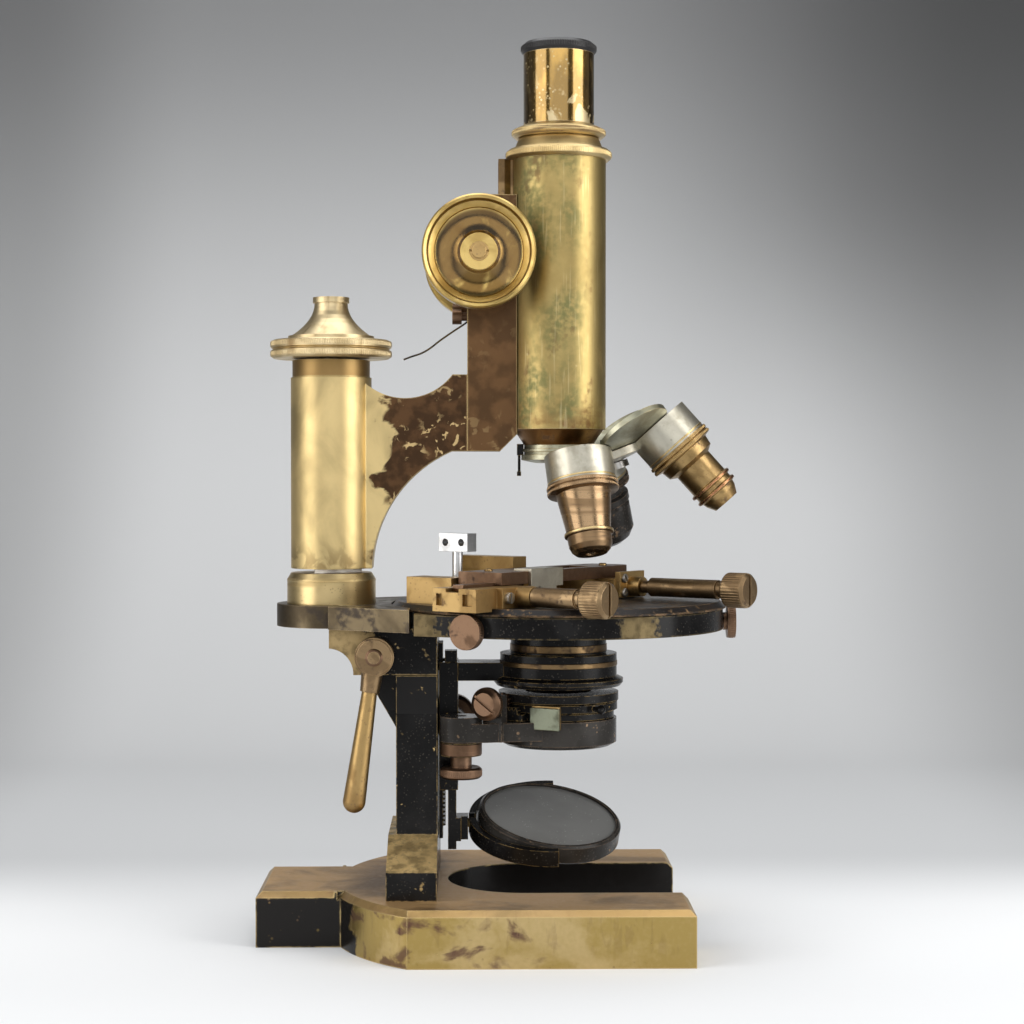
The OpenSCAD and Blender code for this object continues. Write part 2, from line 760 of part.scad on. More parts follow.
module nosepiece_cap() {
    color(brass) difference() {
        union() {
            dome(nose_reach - 1.8, nose_reach, 13.5, [180, 60, -60], 13);
            translate([optic_front, 0, 0]) {
                ring(12.5, apex_z - nose_reach + 1.5, tube_z - 5.6);
                ring(13.2, tube_z - 8, tube_z - 7);
            }
        }
        translate([optic_front, 0, apex_z - nose_reach - 5]) cylinder(r = 8, h = 30);
        translate(apex) rotate([0, -nose_angle, 0]) translate([0, 0, -70])
            cylinder(r = pivot_screw_r, h = 40);
        block([optic_front - 14, -2 - slide_gap, tube_z - 9.3],
            [click_x, 2 + slide_gap, tube_z - 5]);
    }
}

click_x = optic_front - 12.7;
module click_spring() {
    x = click_x;
    color(black) {
        block([x - 2.4, -2, tube_z - 9.3], [x, 2, tube_z - 5.2]);
        translate([x - 1.6, 0, tube_z - 15.2]) cylinder(r = 0.5, h = 6, $fn = 16);
        block([x - 2.4, -0.8, tube_z - 16.8], [x - 0.9, 0.8, tube_z - 15.2]);
    }
}

module nosepiece_shell() {
    places = [near_place, slim_place, wide_place];
    color(nickel) difference() {
        union() {
            dome(nose_reach + gap, nose_reach + 3, drum_r, places, 13);
            for (p = places) nose_frame(p) translate([0, 0, -nose_reach - drum_h - gap - 0.3])
                cylinder(r = drum_r, h = drum_h);
        }
        for (p = places) nose_frame(p) translate([0, 0, -nose_reach - 20]) cylinder(r = 8, h = 30);
        translate(apex) rotate([0, -nose_angle, 0]) translate([0, 0, -70])
            cylinder(r = pivot_screw_r + fit, h = 40);
    }
}

module nosepiece_screw() {
    color(nickel) translate(apex) rotate([0, -nose_angle, 0])
        translate([0, 0, -nose_reach - 5.6]) rotate([180, 0, 0])
            slotted_screw(4.6, 2.4, pivot_screw_r - eps, 12);
}

seat = nose_reach + drum_h + gap + 0.3;
// Objective turned about the local axis, from pairs of radius and distance below its seat
module objective(place, profile, tip) {
    nose_frame(place) difference() {
        rotate_extrude() polygon([for (p = profile) [p[0], -seat - p[1]]]);
        translate([0, 0, -seat - 60]) cylinder(r = 2.2, h = 70);
        translate([0, 0, -tip + 4]) cylinder(r = 5, h = 40);
    }
}

module objective_near() {
    n = near_tip - seat;
    color(brass) objective(near_place, [
        [0, 0], [12.7, 0], [12.7, 1.2], [12.2, 1.5], [12.7, 1.8], [12.7, 3],
        [9.8, 3.4], [9.6, 5], [7.9, n - 8.2], [8.7, n - 8], [8.7, n - 6.8],
        [7.9, n - 6.5], [7.7, n - 3], [6.9, n - 1.2], [5.6, n], [0, n]], near_tip);
}

module objective_slim() {
    n = slim_tip - seat;
    color(dull_brass) objective(slim_place, [
        [0, 0], [12.7, 0], [12.7, 1.2], [12.2, 1.5], [12.7, 1.8], [12.7, 3],
        [10.4, 3.6], [9.8, 7], [7.4, 8.5], [7.4, n - 9.4], [8.4, n - 9], [8.4, n - 8],
        [7.4, n - 7.6], [7.4, n - 6.4], [8.2, n - 6], [8.2, n - 5],
        [7, n - 4.6], [6.6, n - 3], [5, n], [0, n]], slim_tip);
}

module objective_wide() {
    n = wide_tip - seat;
    color(black) objective(wide_place, [
        [0, 0], [12.7, 0], [12.7, 1.2], [12.2, 1.5], [12.7, 1.8], [12.7, 3],
        [9.8, 3.4], [9.6, 7], [11.4, 7.6], [11.4, 10], [10.4, 10.6],
        [11, 12], [10.8, n - 5], [9, n - 2], [6, n], [0, n]], wide_tip);
}

knob_face = 2.2;
knob_screw = [3.4, 2.4];
module coarse_pinion() {
    color(nickel) translate([pinion_x, 0, pinion_z]) {
        plate_xz(-4.6, 4.6) gear_outline(coarse_teeth, coarse_module, coarse_module * 0.9, 0.1);
        shaft_y(shaft_r, -coarse_span / 2 + 1, coarse_span / 2 - 1);
        for (side = [0, 180]) rotate([0, 0, side])
            translate([0, knob_face - coarse_span / 2, 0]) rotate([90, 0, 0])
                slotted_screw(knob_screw[0], knob_screw[1], shaft_r, 6);
    }
}

module coarse_knobs() {
    color(brass) for (side = [0, 180]) translate([pinion_x, 0, pinion_z]) rotate([0, 0, side])
        translate([0, -coarse_span / 2, 0]) rotate([-90, 0, 0]) difference() {
            turned([
                [0, knob_face], [6.5, knob_face], [6.5, knob_face + 1.8], [7.6, 4.6],
                [coarse_r - 4.5, 5.2], [coarse_r - 2.2, 3.2],
                [coarse_r - 1.6, 0.6], [coarse_r - 0.6, 0], [coarse_r, 0.6], [coarse_r, coarse_t - 0.6],
                [coarse_r - 0.6, coarse_t], [10, coarse_t], [6, coarse_t + 3], [0, coarse_t + 3]]);
            translate([0, 0, -1]) cylinder(r = shaft_r + eps, h = coarse_t + 8);
            translate([0, 0, -1]) cylinder(r = knob_screw[0] + eps, h = 1 + knob_face + knob_screw[1] + eps);
        }
}

draw_z = tube_top + tube_collar_h + gap;
module draw_tube() {
    color(brass) translate([optic_front, 0, 0]) difference() {
        union() {
            ring(draw_r, draw_z - 76, draw_z + 1);
            turned([
                [0, draw_z], [flange_r - 1.4, draw_z], [flange_r, draw_z + 1.3], [flange_r, draw_z + 2.6],
                [flange_r - 1.6, draw_z + 3.6], [eye_r + 0.9, draw_z + 4.3], [0, draw_z + 4.3]]);
        }
        translate([0, 0, draw_z - 80]) cylinder(r = draw_r - 1.4, h = 100);
    }
}

eye_z = draw_z + 4.3 + gap;
eye_top = eye_z + eye_h;
module eyepiece() {
    sleeve = draw_r - 1.4 - fit;
    color(brass) translate([optic_front, 0, 0]) difference() {
        union() {
            ring(sleeve, eye_z - 32, eye_z + 1);
            ring(eye_r, eye_z, eye_top);
        }
        translate([0, 0, eye_z - 40]) cylinder(r = lens_r, h = 100);
    }
}

lens_r = 10.6;
module eyepiece_cap() {
    color(black) translate([optic_front, 0, 0]) turned([
        [4, eye_top], [cap_r - 0.8, eye_top], [cap_r, eye_top + 1],
        [cap_r, eye_top + cap_h - 1.2], [cap_r - 1.4, eye_top + cap_h],
        [cap_r - 3, eye_top + cap_h], [5, eye_top + 1.6], [4, eye_top + 1.6]]);
}

module eyepiece_lenses() {
    color(nickel) translate([optic_front, 0, 0]) for (z = [eye_z - 31, eye_top - 5]) translate([0, 0, z])
        cylinder(r = lens_r - eps, h = 2.6);
}

// Frame of the mechanical stage: +X along its two screws, towards their knobs
module stage_frame() {
    translate([optic_front, 0, 0]) rotate([0, 0, cross_turn]) children();
}

module stage_disc() {
    color(black) translate([optic_front, 0, 0]) difference() {
        turned([
            [0, stage_z + 0.5], [aperture_r + 5 - fit, stage_z + 0.5], [aperture_r + 5 - fit, disc_z],
            [disc_r, disc_z], [disc_r, disc_top - disc_bevel],
            [disc_r - disc_bevel, disc_top], [0, disc_top]]);
        translate([0, 0, stage_z]) cylinder(r = aperture_r, h = 40);
    }
}

disc_bevel = 2;
cross_module = 0.5;
cross_teeth = 10;
cross_pitch = PI * cross_module;
cross_r = cross_module * cross_teeth / 2;
cross_shaft_r = 1.5;
// Height of the plate's underside above its rack's pitch line
rack_drop = 1.1;
cross_y = -45.7;
bed_low = bracket_top + gap;
cross_z = plate_z - rack_drop - cross_r;
bed_left = -4;
bed_right = 14.6;
bed_near = -67.6;
bed_far = -39.6;
rack_side = [2.3, 6.7];
bush_r = 3.6;
knob_shaft_r = 3.4;
end_plate_t = 2.4;
bed_screw_rows = [-53, -40];
bed_screw_z = disc_top + 3.6;

module stage_bed() {
    color(brass) stage_frame() difference() {
        union() {
            block([bed_left, bed_near, bed_low], [bed_right, bed_far, bed_top]);
            block([-30.7, -49.3, disc_top], [-plate_w / 2 - 1.1, bed_far, bed_top + 2.3]);
            block([-30.7, -49.3, disc_top], [bed_right, bed_far, disc_top + 2]);
            block([bed_right, -56, disc_top], [bed_right + end_plate_t, bed_far + 1.6, bed_top]);
            translate([0, cross_y, cross_z]) shaft_x(bush_r, bed_right + end_plate_t, bed_right + 8.4);
        }
        cylinder(r = disc_r + eps, h = disc_top);
        block([rack_side[0] - 0.6, bed_near - 1, bed_top - rack_drop - 0.2],
            [rack_side[1] + 0.6, bed_far + 2, bed_top + 5]);
        translate([0, cross_y, cross_z]) {
            shaft_x(cross_r + 0.6, rack_side[0] - 0.4, rack_side[1] + 0.4);
            shaft_x(cross_shaft_r + fit, -1, bed_right + 20);
        }
        for (x = [[bed_left + 1.6, rack_side[0] - 2.2], [rack_side[1] + 2.2, bed_right - 1.6]])
            block([x[0], bed_near - 1, bed_low + 2.1], [x[1], bed_near + 1.6, bed_top - 1.8]);
        for (y = bed_screw_rows) translate([0, y, bed_screw_z])
            shaft_x(1.2 + fit, bed_right - 5, bed_right + 3);
    }
}

module bed_screws() {
    color(nickel) stage_frame() for (y = bed_screw_rows)
        translate([bed_right + end_plate_t + 1.5, y, bed_screw_z]) rotate([0, 90, 0])
            slotted_screw(1.9, 1.5, 1.2, 7.5);
}

// Milled stage knob around X, its slotted end outwards
module stage_knob(start) {
    end = stage_knob_len;
    translate([start, 0, 0]) rotate([0, 90, 0]) turned([
        [0, 0], [stage_knob_r - 1.4, 0], [stage_knob_r, 1.2],
        [stage_knob_r, end - 1], [stage_knob_r - 1, end], [0, end]]);
}

// Slot across the end of a stage knob
module knob_slot(start) {
    block([start + stage_knob_len - 1.1, -0.6, -10], [start + stage_knob_len + 1, 0.6, 10]);
}

near_knob = 43.8;
module plate_pinion() {
    color(brass) stage_frame() translate([0, cross_y, cross_z]) difference() {
        union() {
            translate([rack_side[1] - 0.2, 0, 0]) rotate([0, -90, 0])
                linear_extrude(rack_side[1] - rack_side[0] - 0.4)
                    gear_outline(cross_teeth, cross_module, 0.35, 0.08);
            shaft_x(cross_shaft_r, 0, 24);
            shaft_x(knob_shaft_r, bed_right + 8.4 + gap, near_knob - 3);
            shaft_x(knob_shaft_r - 0.7, near_knob - 3.1, near_knob + 0.1);
            stage_knob(near_knob);
        }
        knob_slot(near_knob);
    }
}

plate_near = -46.6;
module object_plate() {
    half = plate_w / 2;
    far = plate_near + plate_len;
    corner = 5;
    color(copper) stage_frame() {
        translate([0, 0, plate_z]) linear_extrude(plate_t) difference() {
            union() {
                translate([-half, plate_near]) square([plate_w, plate_len - corner]);
                translate([corner - half, far - corner - 1]) square([plate_w - 2 * corner, corner + 1]);
                for (side = [-1, 1]) translate([side * (half - corner), far - corner]) circle(r = corner);
            }
            translate([-5, -14]) square([10, 28]);
        }
        translate([rack_side[1], cross_y - cross_pitch, plate_z - rack_drop]) rotate([0, -90, 0])
            linear_extrude(rack_side[1] - rack_side[0])
                rack_outline(cross_pitch, 22, 0.35, 0.6, rack_drop - 0.6, 0.08);
        block([rack_side[0], cross_y - 12 * cross_pitch, plate_z - 0.5],
            [rack_side[1], plate_near, plate_z + 0.8]);
    }
}

bracket_y = [-31, -12];
module plate_bracket() {
    half = plate_w / 2;
    color(nickel) stage_frame() difference() {
        union() {
            block([half, bracket_y[0], disc_top + 1.8], [half + 1.2, bracket_y[1], plate_top + 0.8]);
            block([3, bracket_y[0], plate_top], [half + 1.2, bracket_y[1], plate_top + 0.8]);
        }
        translate([0, bracket_y[0] + 5, disc_top + 5]) shaft_x(1.1, half - 1, half + 3);
        block([half - 1, bracket_y[1] - 4, disc_top + 1], [half + 3, bracket_y[1] + 1, disc_top + 6]);
    }
}

screw_y = 22.4;
screw_z = disc_top + 4.3;
carriage_low = disc_top + gap;
carriage_left = -12.4;
carriage_right = 15;
rail_y = [-9, -1];
guide_top_z = carriage_low + 3;
end_plate = [carriage_right, carriage_right + 2.2];

module plate_carriage() {
    color(dull_brass) stage_frame() difference() {
        union() {
            block([carriage_left, 14, carriage_low], [carriage_right, 33, plate_z]);
            block([carriage_left, rail_y[0], carriage_low], [-plate_w / 2, 14, plate_z - 0.1]);
            block([-44, rail_y[0], carriage_low], [carriage_left, rail_y[1], guide_top_z]);
            block([end_plate[0], 14.5, carriage_low + 0.1], [end_plate[1], 30.5, plate_z + 2.5]);
            translate([0, screw_y, screw_z]) shaft_x(bush_r, end_plate[1], end_plate[1] + 4.8);
        }
        translate([0, screw_y, screw_z]) shaft_x(cross_shaft_r + fit, -60, 60);
    }
}

far_knob = 57.2;
module finger_screw() {
    start = end_plate[1] + 4.8;
    color(brass) stage_frame() translate([0, screw_y, screw_z]) difference() {
        union() {
            shaft_x(cross_shaft_r, -34, start + 1);
            shaft_x(2.3, start + gap, start + 4);
            shaft_x(knob_shaft_r, start + 4, far_knob - 3);
            shaft_x(knob_shaft_r - 0.7, far_knob - 3.1, far_knob + 0.1);
            stage_knob(far_knob);
        }
        knob_slot(far_knob);
    }
}

finger_low = guide_top_z + gap;
post_place = [-22.7, -30.4];
post_foot = finger_low + 2.7;
module finger_slide() {
    color(dull_brass) stage_frame() difference() {
        union() {
            block([-42, rail_y[0], finger_low], [-13.9, rail_y[1], finger_low + 11.7]);
            block([post_place[0] - 4.5, post_place[1] - 3.6, finger_low],
                [post_place[0] + 4.5, rail_y[0] + 1, post_foot]);
            block([-21, rail_y[1] - 1, finger_low], [-16, rail_y[1] + 1, finger_low + 3.6]);
            block([-21, rail_y[1], carriage_low + 0.5], [-16, screw_y + 3.6, screw_z + 2.9]);
        }
        translate([0, screw_y, screw_z]) shaft_x(cross_shaft_r + fit, -60, 60);
        block([-41, rail_y[0] - 1, finger_low + 5.2], [-29, rail_y[0] + 0.8, finger_low + 7]);
    }
}

post_head = [6.5, 2.6];
post_head_z = [post_foot + 11.5, post_foot + 18];
post_hole_r = 1.3;
post_hole_x = [-3.6, 3.6];
module finger_post() {
    color(nickel) stage_frame() translate([post_place[0], post_place[1], 0]) {
        translate([0, 0, post_foot]) cylinder(r = 1.9, h = post_head_z[0] - post_foot);
        difference() {
            block([-post_head[0], -post_head[1], post_head_z[0]],
                [post_head[0], post_head[1], post_head_z[1]]);
            for (x = post_hole_x) translate([x, 0, (post_head_z[0] + post_head_z[1]) / 2])
                shaft_y(post_hole_r, -post_head[1] - 1, post_head[1] + 1);
        }
    }
}

sub_module = 0.5;
sub_teeth = 12;
sub_pitch = PI * sub_module;
sub_r = sub_module * sub_teeth / 2;
sub_line = rack_x + 2;
sub_x = sub_line + sub_r;
sub_z = 76;
sub_shaft_r = 1.6;
rack_top = block_bottom + 10;
rack_low = rack_top - rack_len;
// Width of the substage rack's plate and of its teeth
rack_y = [-3, 8];
teeth_y = [0, 6];

module substage_rack() {
    color(black) {
        block([rack_x, rack_y[0], rack_low], [rack_x + 1.4, rack_y[1], rack_top]);
        block([col_front, rack_y[0], block_bottom], [rack_x + 1.4, rack_y[1], rack_top]);
        plate_xz(teeth_y[0], teeth_y[1]) translate([sub_line, sub_z - 6 * sub_pitch]) mirror([1, 0])
            rack_outline(sub_pitch, 36, 0.35, 0.6, 0.1, 0.08);
    }
}

carriage_front = carriage_x + 4.2;
carriage_top = carriage_z + carriage_h;
carriage_y = [-8.5, 10.5];
bar_x = [carriage_x + 0.6, carriage_x + 3.6];
bar_y = [-7.5, -2.5];
swing_shaft_r = 2;
ear_z = [swing[2] - 5, swing[2] - gap];

module substage_carriage() {
    color(black) difference() {
        union() {
            block([carriage_x, carriage_y[0], carriage_z],
                [carriage_front, carriage_y[1], carriage_top]);
            block([rack_x + 0.2, carriage_y[0], carriage_z],
                [carriage_x + 0.1, carriage_y[1], carriage_top]);
            translate([sub_x, 0, sub_z]) shaft_y(5, -1, carriage_y[1]);
            translate([swing[0], swing[1], ear_z[0]]) cylinder(r = 7.2, h = ear_z[1] - ear_z[0]);
            block([carriage_x, swing[1], ear_z[0]],
                [swing[0] + 5, carriage_y[0] + 1, ear_z[1] - 0.3]);
        }
        block([rack_x - 1, rack_y[0] - slide_gap, carriage_z - 1],
            [carriage_x, rack_y[1] + slide_gap, carriage_top + 1]);
        block([bar_x[0], bar_y[0], carriage_z - 1], [bar_x[1], bar_y[1], carriage_top + 1]);
        translate([sub_x, 0, sub_z]) {
            shaft_y(sub_r + 0.7, teeth_y[0] - 0.3, teeth_y[1] + 0.3);
            shaft_y(sub_shaft_r + fit, 0, 20);
        }
        translate([swing[0], swing[1], ear_z[0] - 1]) cylinder(r = swing_shaft_r + fit, h = 8);
    }
}

module substage_pinion() {
    knob_y = col_w / 2 + 1.5;
    color(copper) translate([sub_x, 0, sub_z]) {
        plate_xz(teeth_y[0] + 0.2, teeth_y[1] - 0.2) gear_outline(sub_teeth, sub_module, 0.35, 0.08);
        shaft_y(sub_shaft_r, teeth_y[0] + 0.2, knob_y + 3);
        translate([0, knob_y, 0]) rotate([-90, 0, 0]) turned([
            [0, 0], [6.8, 0], [8, 1.2], [8, 5.4], [7, 6.5], [0, 6.5]]);
    }
}

condenser_z = 90.2;
module condenser() {
    z = condenser_z;
    bore = 13;
    body = condenser_flange_r - 2.3;
    color(black) {
        translate([optic_front, 0, 0]) turned([
            [bore, z], [condenser_flange_r - 1, z], [condenser_flange_r, z + 1.2],
            [condenser_flange_r, z + 2.6], [body, z + 3.6], [body, z + 11.7],
            [condenser_r, z + 11.7], [condenser_r, stage_z - 0.8], [bore, stage_z - 0.8]]);
        block([carriage_front, -7, z + 2], [optic_front - condenser_r + 1, 7, z + 8.5]);
    }
}

// Frame at the optical axis whose -Y runs along the iris pinion's shaft, towards its knob
module iris_frame() {
    translate([optic_front, 0, 0]) rotate([0, 0, -30]) children();
}
iris_x = -10.2;
iris_line = 83.3;
iris_z = iris_line + cross_r;
carrier_top = 78.6;
iris_low = carrier_top + gap;

module iris_carrier() {
    low = swing[2];
    color(black) difference() {
        union() {
            translate([optic_front, 0, 0]) turned([
                [0, low - 1.6], [12.5, low - 1.6], [carrier_r - 2.1, low - 3.4],
                [carrier_r, low - 2.2], [carrier_r, carrier_top], [0, carrier_top]]);
            translate([swing[0], swing[1], low]) cylinder(r = 7.5, h = 8.9);
            translate([0, 0, low]) linear_extrude(carrier_top - low)
                polygon([
                    [swing[0] + 0.3, swing[1] - 7.3], [45, -20],
                    [32, 6], [swing[0] - 3.2, swing[1] + 6.7]]);
            iris_frame() {
                block([iris_x - 3.8, -31, low], [iris_x + 3.8, -27, iris_z + 2.7]);
                block([iris_x - 3.8, -31, low], [iris_x + 3.8, -18, carrier_top]);
            }
        }
        translate([optic_front, 0, low - 5]) cylinder(r = 12.5, h = 20);
        translate([swing[0], swing[1], low - 1]) cylinder(r = swing_shaft_r + fit, h = 12);
        iris_frame() translate([iris_x, 0, iris_z]) shaft_y(cross_shaft_r + fit, -40, -20);
    }
}

module iris_housing() {
    color(black) {
        translate([optic_front, 0, 0]) difference() {
            union() {
                ring(20.2, iris_low, iris_low + 2.4);
                ring(15, iris_low, 85);
                ring(iris_r, 85, 88);
            }
            translate([0, 0, iris_low - 1]) cylinder(r = 12, h = 12);
        }
        iris_frame() {
            block([-18, -24, iris_low], [-2, -15, iris_low + 2.4]);
            translate([iris_x, -21.5, iris_line]) rotate([90, 0, 0]) linear_extrude(2.5)
                rotate(-90)
                    rack_outline(cross_pitch, 8, 0.35, 0.6, iris_line - 0.6 - iris_low - 2.4, 0.08);
        }
    }
}

module iris_lever() {
    color(black) translate([optic_front, 0, 0]) {
        ring(iris_r - 0.4, iris_low + 2.8, 84.6, 15 + 0.1);
        rotate([0, 0, -56]) translate([0, 0, 83.2]) {
            shaft_x(0.9, 20, 25.5);
            translate([25.5, 0, 0]) sphere(r = 1.6);
        }
    }
}

module iris_pinion() {
    color(copper) iris_frame() translate([iris_x, 0, iris_z]) difference() {
        union() {
            translate([0, -21.6, 0]) rotate([90, 0, 0]) linear_extrude(2.3) rotate(-90)
                gear_outline(cross_teeth, cross_module, 0.35, 0.08);
            shaft_y(cross_shaft_r, -34, -21.6);
            translate([0, -32.5, 0]) rotate([90, 0, 0]) turned([
                [0, 0], [4.6, 0], [5.8, 1], [5.8, 3], [5, 3.6], [4, 4.6], [0, 4.6]]);
        }
        rotate([0, 35, 0]) block([-7, -38, -0.5], [7, -36.1, 0.5]);
    }
}

module swing_screw() {
    color(copper) translate([swing[0], swing[1], 0]) {
        translate([0, 0, ear_z[0] - 5]) cylinder(r = swing_shaft_r, h = 18.5);
        turned([
            [0, 58.9], [swing_r - 0.8, 58.9], [swing_r, 59.6], [swing_r, 62.1],
            [swing_r - 0.8, 62.8], [3.8, 62.8], [3.8, ear_z[0] - gap], [0, ear_z[0] - gap]]);
    }
}

hub_x = mirror_front - mirror_r - 3.3;
fork_pin_r = 1.6;
module mirror_bar() {
    arm = [mirror_h - 5.5, mirror_h + 2.9];
    color(black) difference() {
        union() {
            block([bar_x[0], bar_y[0], arm[0] - 2.9], [bar_x[1], bar_y[1], carriage_top + 1]);
            block([bar_x[0] - 1.1, bar_y[0] - 0.5, carriage_top],
                [bar_x[1] + 0.3, bar_y[1] + 0.5, carriage_top + 4.2]);
            block([bar_x[1], bar_y[0], arm[0]], [bar_x[1] + 1.7, 4, arm[1]]);
            block([bar_x[1] + 1.6, -4, arm[0]], [hub_x - 0.2, 4, arm[1]]);
        }
        translate([0, 0, mirror_h]) shaft_x(fork_pin_r + fit, bar_x[1] + 1, hub_x + 1);
    }
}

fork_in = mirror_r + 0.6;
fork_out = mirror_r + 3.2;
trunnion_r = 1.2;
module mirror_fork() {
    color(black) {
        translate(mirror_c) rotate([fork_tilt, 0, 0]) {
            difference() {
                ring(fork_out, -3, 3, fork_in);
                block([2.5, -40, -4], [40, 40, 4]);
            }
            for (side = [0, 180]) rotate([0, 0, side]) shaft_y(trunnion_r, mirror_r - 1.6, fork_out - 0.6);
        }
        translate([0, 0, mirror_h]) {
            shaft_x(fork_pin_r, hub_x - 2.9, hub_x + 1);
            shaft_x(3.6, hub_x, hub_x + 2.3);
        }
    }
}

// Frame of the tilted mirror
module mirror_place() {
    translate(mirror_c) rotate([fork_tilt, 0, 0]) rotate([0, mirror_tilt, 0]) children();
}

glass_r = mirror_r - 1.8;
glass_t = 1.6;
// Depth of each glass below the frame's rim
glass_sink = 0.9;
module mirror_frame() {
    half = mirror_t / 2;
    color(black) mirror_place() difference() {
        turned([
            [0, -half], [mirror_r - 0.8, -half], [mirror_r, 0.8 - half], [mirror_r, half - 0.8],
            [mirror_r - 0.8, half], [0, half]]);
        for (side = [0, 180]) rotate([side, 0, 0]) translate([0, 0, half - glass_sink - glass_t])
            cylinder(r = glass_r, h = 5);
        translate([0, 0, -5]) cylinder(r = mirror_r - 3, h = 10);
        shaft_y(trunnion_r + fit, mirror_r - 1.7, mirror_r + 1);
        shaft_y(trunnion_r + fit, -mirror_r - 1, 1.7 - mirror_r);
    }
}

module mirror_glass() {
    color(nickel) mirror_place() for (side = [0, 180]) rotate([side, 0, 0])
        translate([0, 0, mirror_t / 2 - glass_sink - glass_t]) cylinder(r = glass_r - fit, h = glass_t);
}

foot();
pillar();
pillar_bolts();
hinge_pin();
hinge_block();
limb_bracket();
stage_plate();
stage_screws();
pillar_collar();
prism_post();
focus_spring();
substage_rack();
clamp_boss();
clamp_handle();
arm();
pinion_box();
guide_screws();
fine_head();
fine_screw();
body_tube();
tube_slide();
tube_collar();
nose_cone();
nosepiece_cap();
click_spring();
coarse_pinion();
coarse_knobs();
draw_tube();
eyepiece();
eyepiece_cap();
eyepiece_lenses();
nosepiece_shell();
nosepiece_screw();
objective_near();
objective_slim();
objective_wide();
stage_disc();
stage_bed();
bed_screws();
centring_near();
centring_front();
object_plate();
plate_bracket();
plate_carriage();
plate_pinion();
finger_screw();
finger_slide();
finger_post();
substage_carriage();
condenser();
substage_pinion();
iris_carrier();
iris_housing();
iris_lever();
iris_pinion();
swing_screw();
mirror_bar();
mirror_fork();
mirror_frame();
mirror_glass();
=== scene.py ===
"""Dresses an antique brass monocular microscope around its fixed CAD frame.

Each sub-assembly is a class that gives its CAD pieces their finish and adds the milled edges,
trim and glass that the frame leaves plain. All lengths in the classes are millimetres.
"""

from __future__ import annotations

import logging
import math
from collections.abc import Sequence
from dataclasses import dataclass
from enum import Enum
from itertools import product

import bpy
from mathutils import Matrix, Vector


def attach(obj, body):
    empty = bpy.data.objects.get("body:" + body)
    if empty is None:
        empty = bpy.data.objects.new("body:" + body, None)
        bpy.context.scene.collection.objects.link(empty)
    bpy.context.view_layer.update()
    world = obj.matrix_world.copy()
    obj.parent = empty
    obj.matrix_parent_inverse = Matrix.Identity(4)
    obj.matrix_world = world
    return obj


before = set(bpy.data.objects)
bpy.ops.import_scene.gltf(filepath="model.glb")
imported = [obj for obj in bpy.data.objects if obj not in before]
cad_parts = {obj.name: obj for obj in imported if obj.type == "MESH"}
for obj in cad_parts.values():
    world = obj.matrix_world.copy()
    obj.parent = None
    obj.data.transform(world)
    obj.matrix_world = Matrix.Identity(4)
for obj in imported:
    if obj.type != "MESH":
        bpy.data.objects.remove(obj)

LOG = logging.getLogger("microscope")
MM = 0.001
Colour = tuple[float, float, float]
Point = tuple[float, float, float]
Row = tuple[float, float]
Face = tuple[int, ...]

# Places that the frame fixes, in millimetres
OPTIC_X = 51.0
SLEEVE_X = -31.4
PIVOT = (-14.7, 0.0, 102.5)
APEX = (51.0, 0.0, 224.5)
COARSE_AXIS = (22.1, 0.0, 244.7)

# Angles in degrees: how far the nosepiece leans, and how the mechanical stage stands across the tube
NOSE_ANGLE = 21.0
CROSS_TURN = -38.0


def shade(colour: Colour, share: float) -> Colour:
    """Gives a darker or lighter tone of a colour.

    Args:
        colour: The colour.
        share: What each part of it is multiplied by.

    Returns:
        The tone.
    """
    red, green, blue = colour
    return red * share, green * share, blue * share


class Axis(Enum):
    """The three axes of the frame."""

    X = "X"
    Y = "Y"
    Z = "Z"


class Field:
    """A socket in a material's node tree, with arithmetic that adds Math nodes."""

    def __init__(self, surface: Surface, socket: bpy.types.NodeSocket) -> None:
        """Wraps a socket.

        Args:
            surface: The surface that owns the node tree.
            socket: The output socket to wrap.
        """
        self.surface = surface
        self.socket = socket

    def _math(self, operation: str, first: Value, second: Value, clamp: bool = False) -> Field:
        """Adds one Math node and gives its result."""
        settings = {"operation": operation, "use_clamp": clamp}
        return self.surface.node("ShaderNodeMath", settings, {0: first, 1: second})

    def __add__(self, other: Value) -> Field:
        """Adds a number or a field."""
        return self._math("ADD", self, other)

    def __radd__(self, other: Value) -> Field:
        """Adds the field to a number."""
        return self._math("ADD", other, self)

    def __sub__(self, other: Value) -> Field:
        """Takes a number or a field away."""
        return self._math("SUBTRACT", self, other)

    def __rsub__(self, other: Value) -> Field:
        """Takes the field away from a number."""
        return self._math("SUBTRACT", other, self)

    def __mul__(self, other: Value) -> Field:
        """Multiplies by a number or a field."""
        return self._math("MULTIPLY", self, other)

    def __rmul__(self, other: Value) -> Field:
        """Multiplies a number by the field."""
        return self._math("MULTIPLY", other, self)

    def __pow__(self, other: Value) -> Field:
        """Raises to a power."""
        return self._math("POWER", self, other)

    def __abs__(self) -> Field:
        """Gives the size without its sign."""
        return self._math("ABSOLUTE", self, 0.0)

    def clamped(self) -> Field:
        """Limits the value to 0 to 1."""
        return self._math("ADD", self, 0.0, clamp=True)

    def rises(self, low: float, high: float) -> Field:
        """Turns the value into a smooth mask.

        Args:
            low: The value at which the mask is 0.
            high: The value at which the mask is 1.

        Returns:
            The mask. It falls when high is below low.
        """
        settings = {"interpolation_type": "SMOOTHSTEP"}
        if low < high:
            return self.surface.node("ShaderNodeMapRange", settings, {0: self, 1: low, 2: high})
        return 1.0 - self.surface.node("ShaderNodeMapRange", settings, {0: self, 1: high, 2: low})


Value = float | Field

# Sockets of Blender's Mix node that blend colours
MIX_MASK, MIX_FIRST, MIX_SECOND = 0, 6, 7
MIX_RESULT = 2


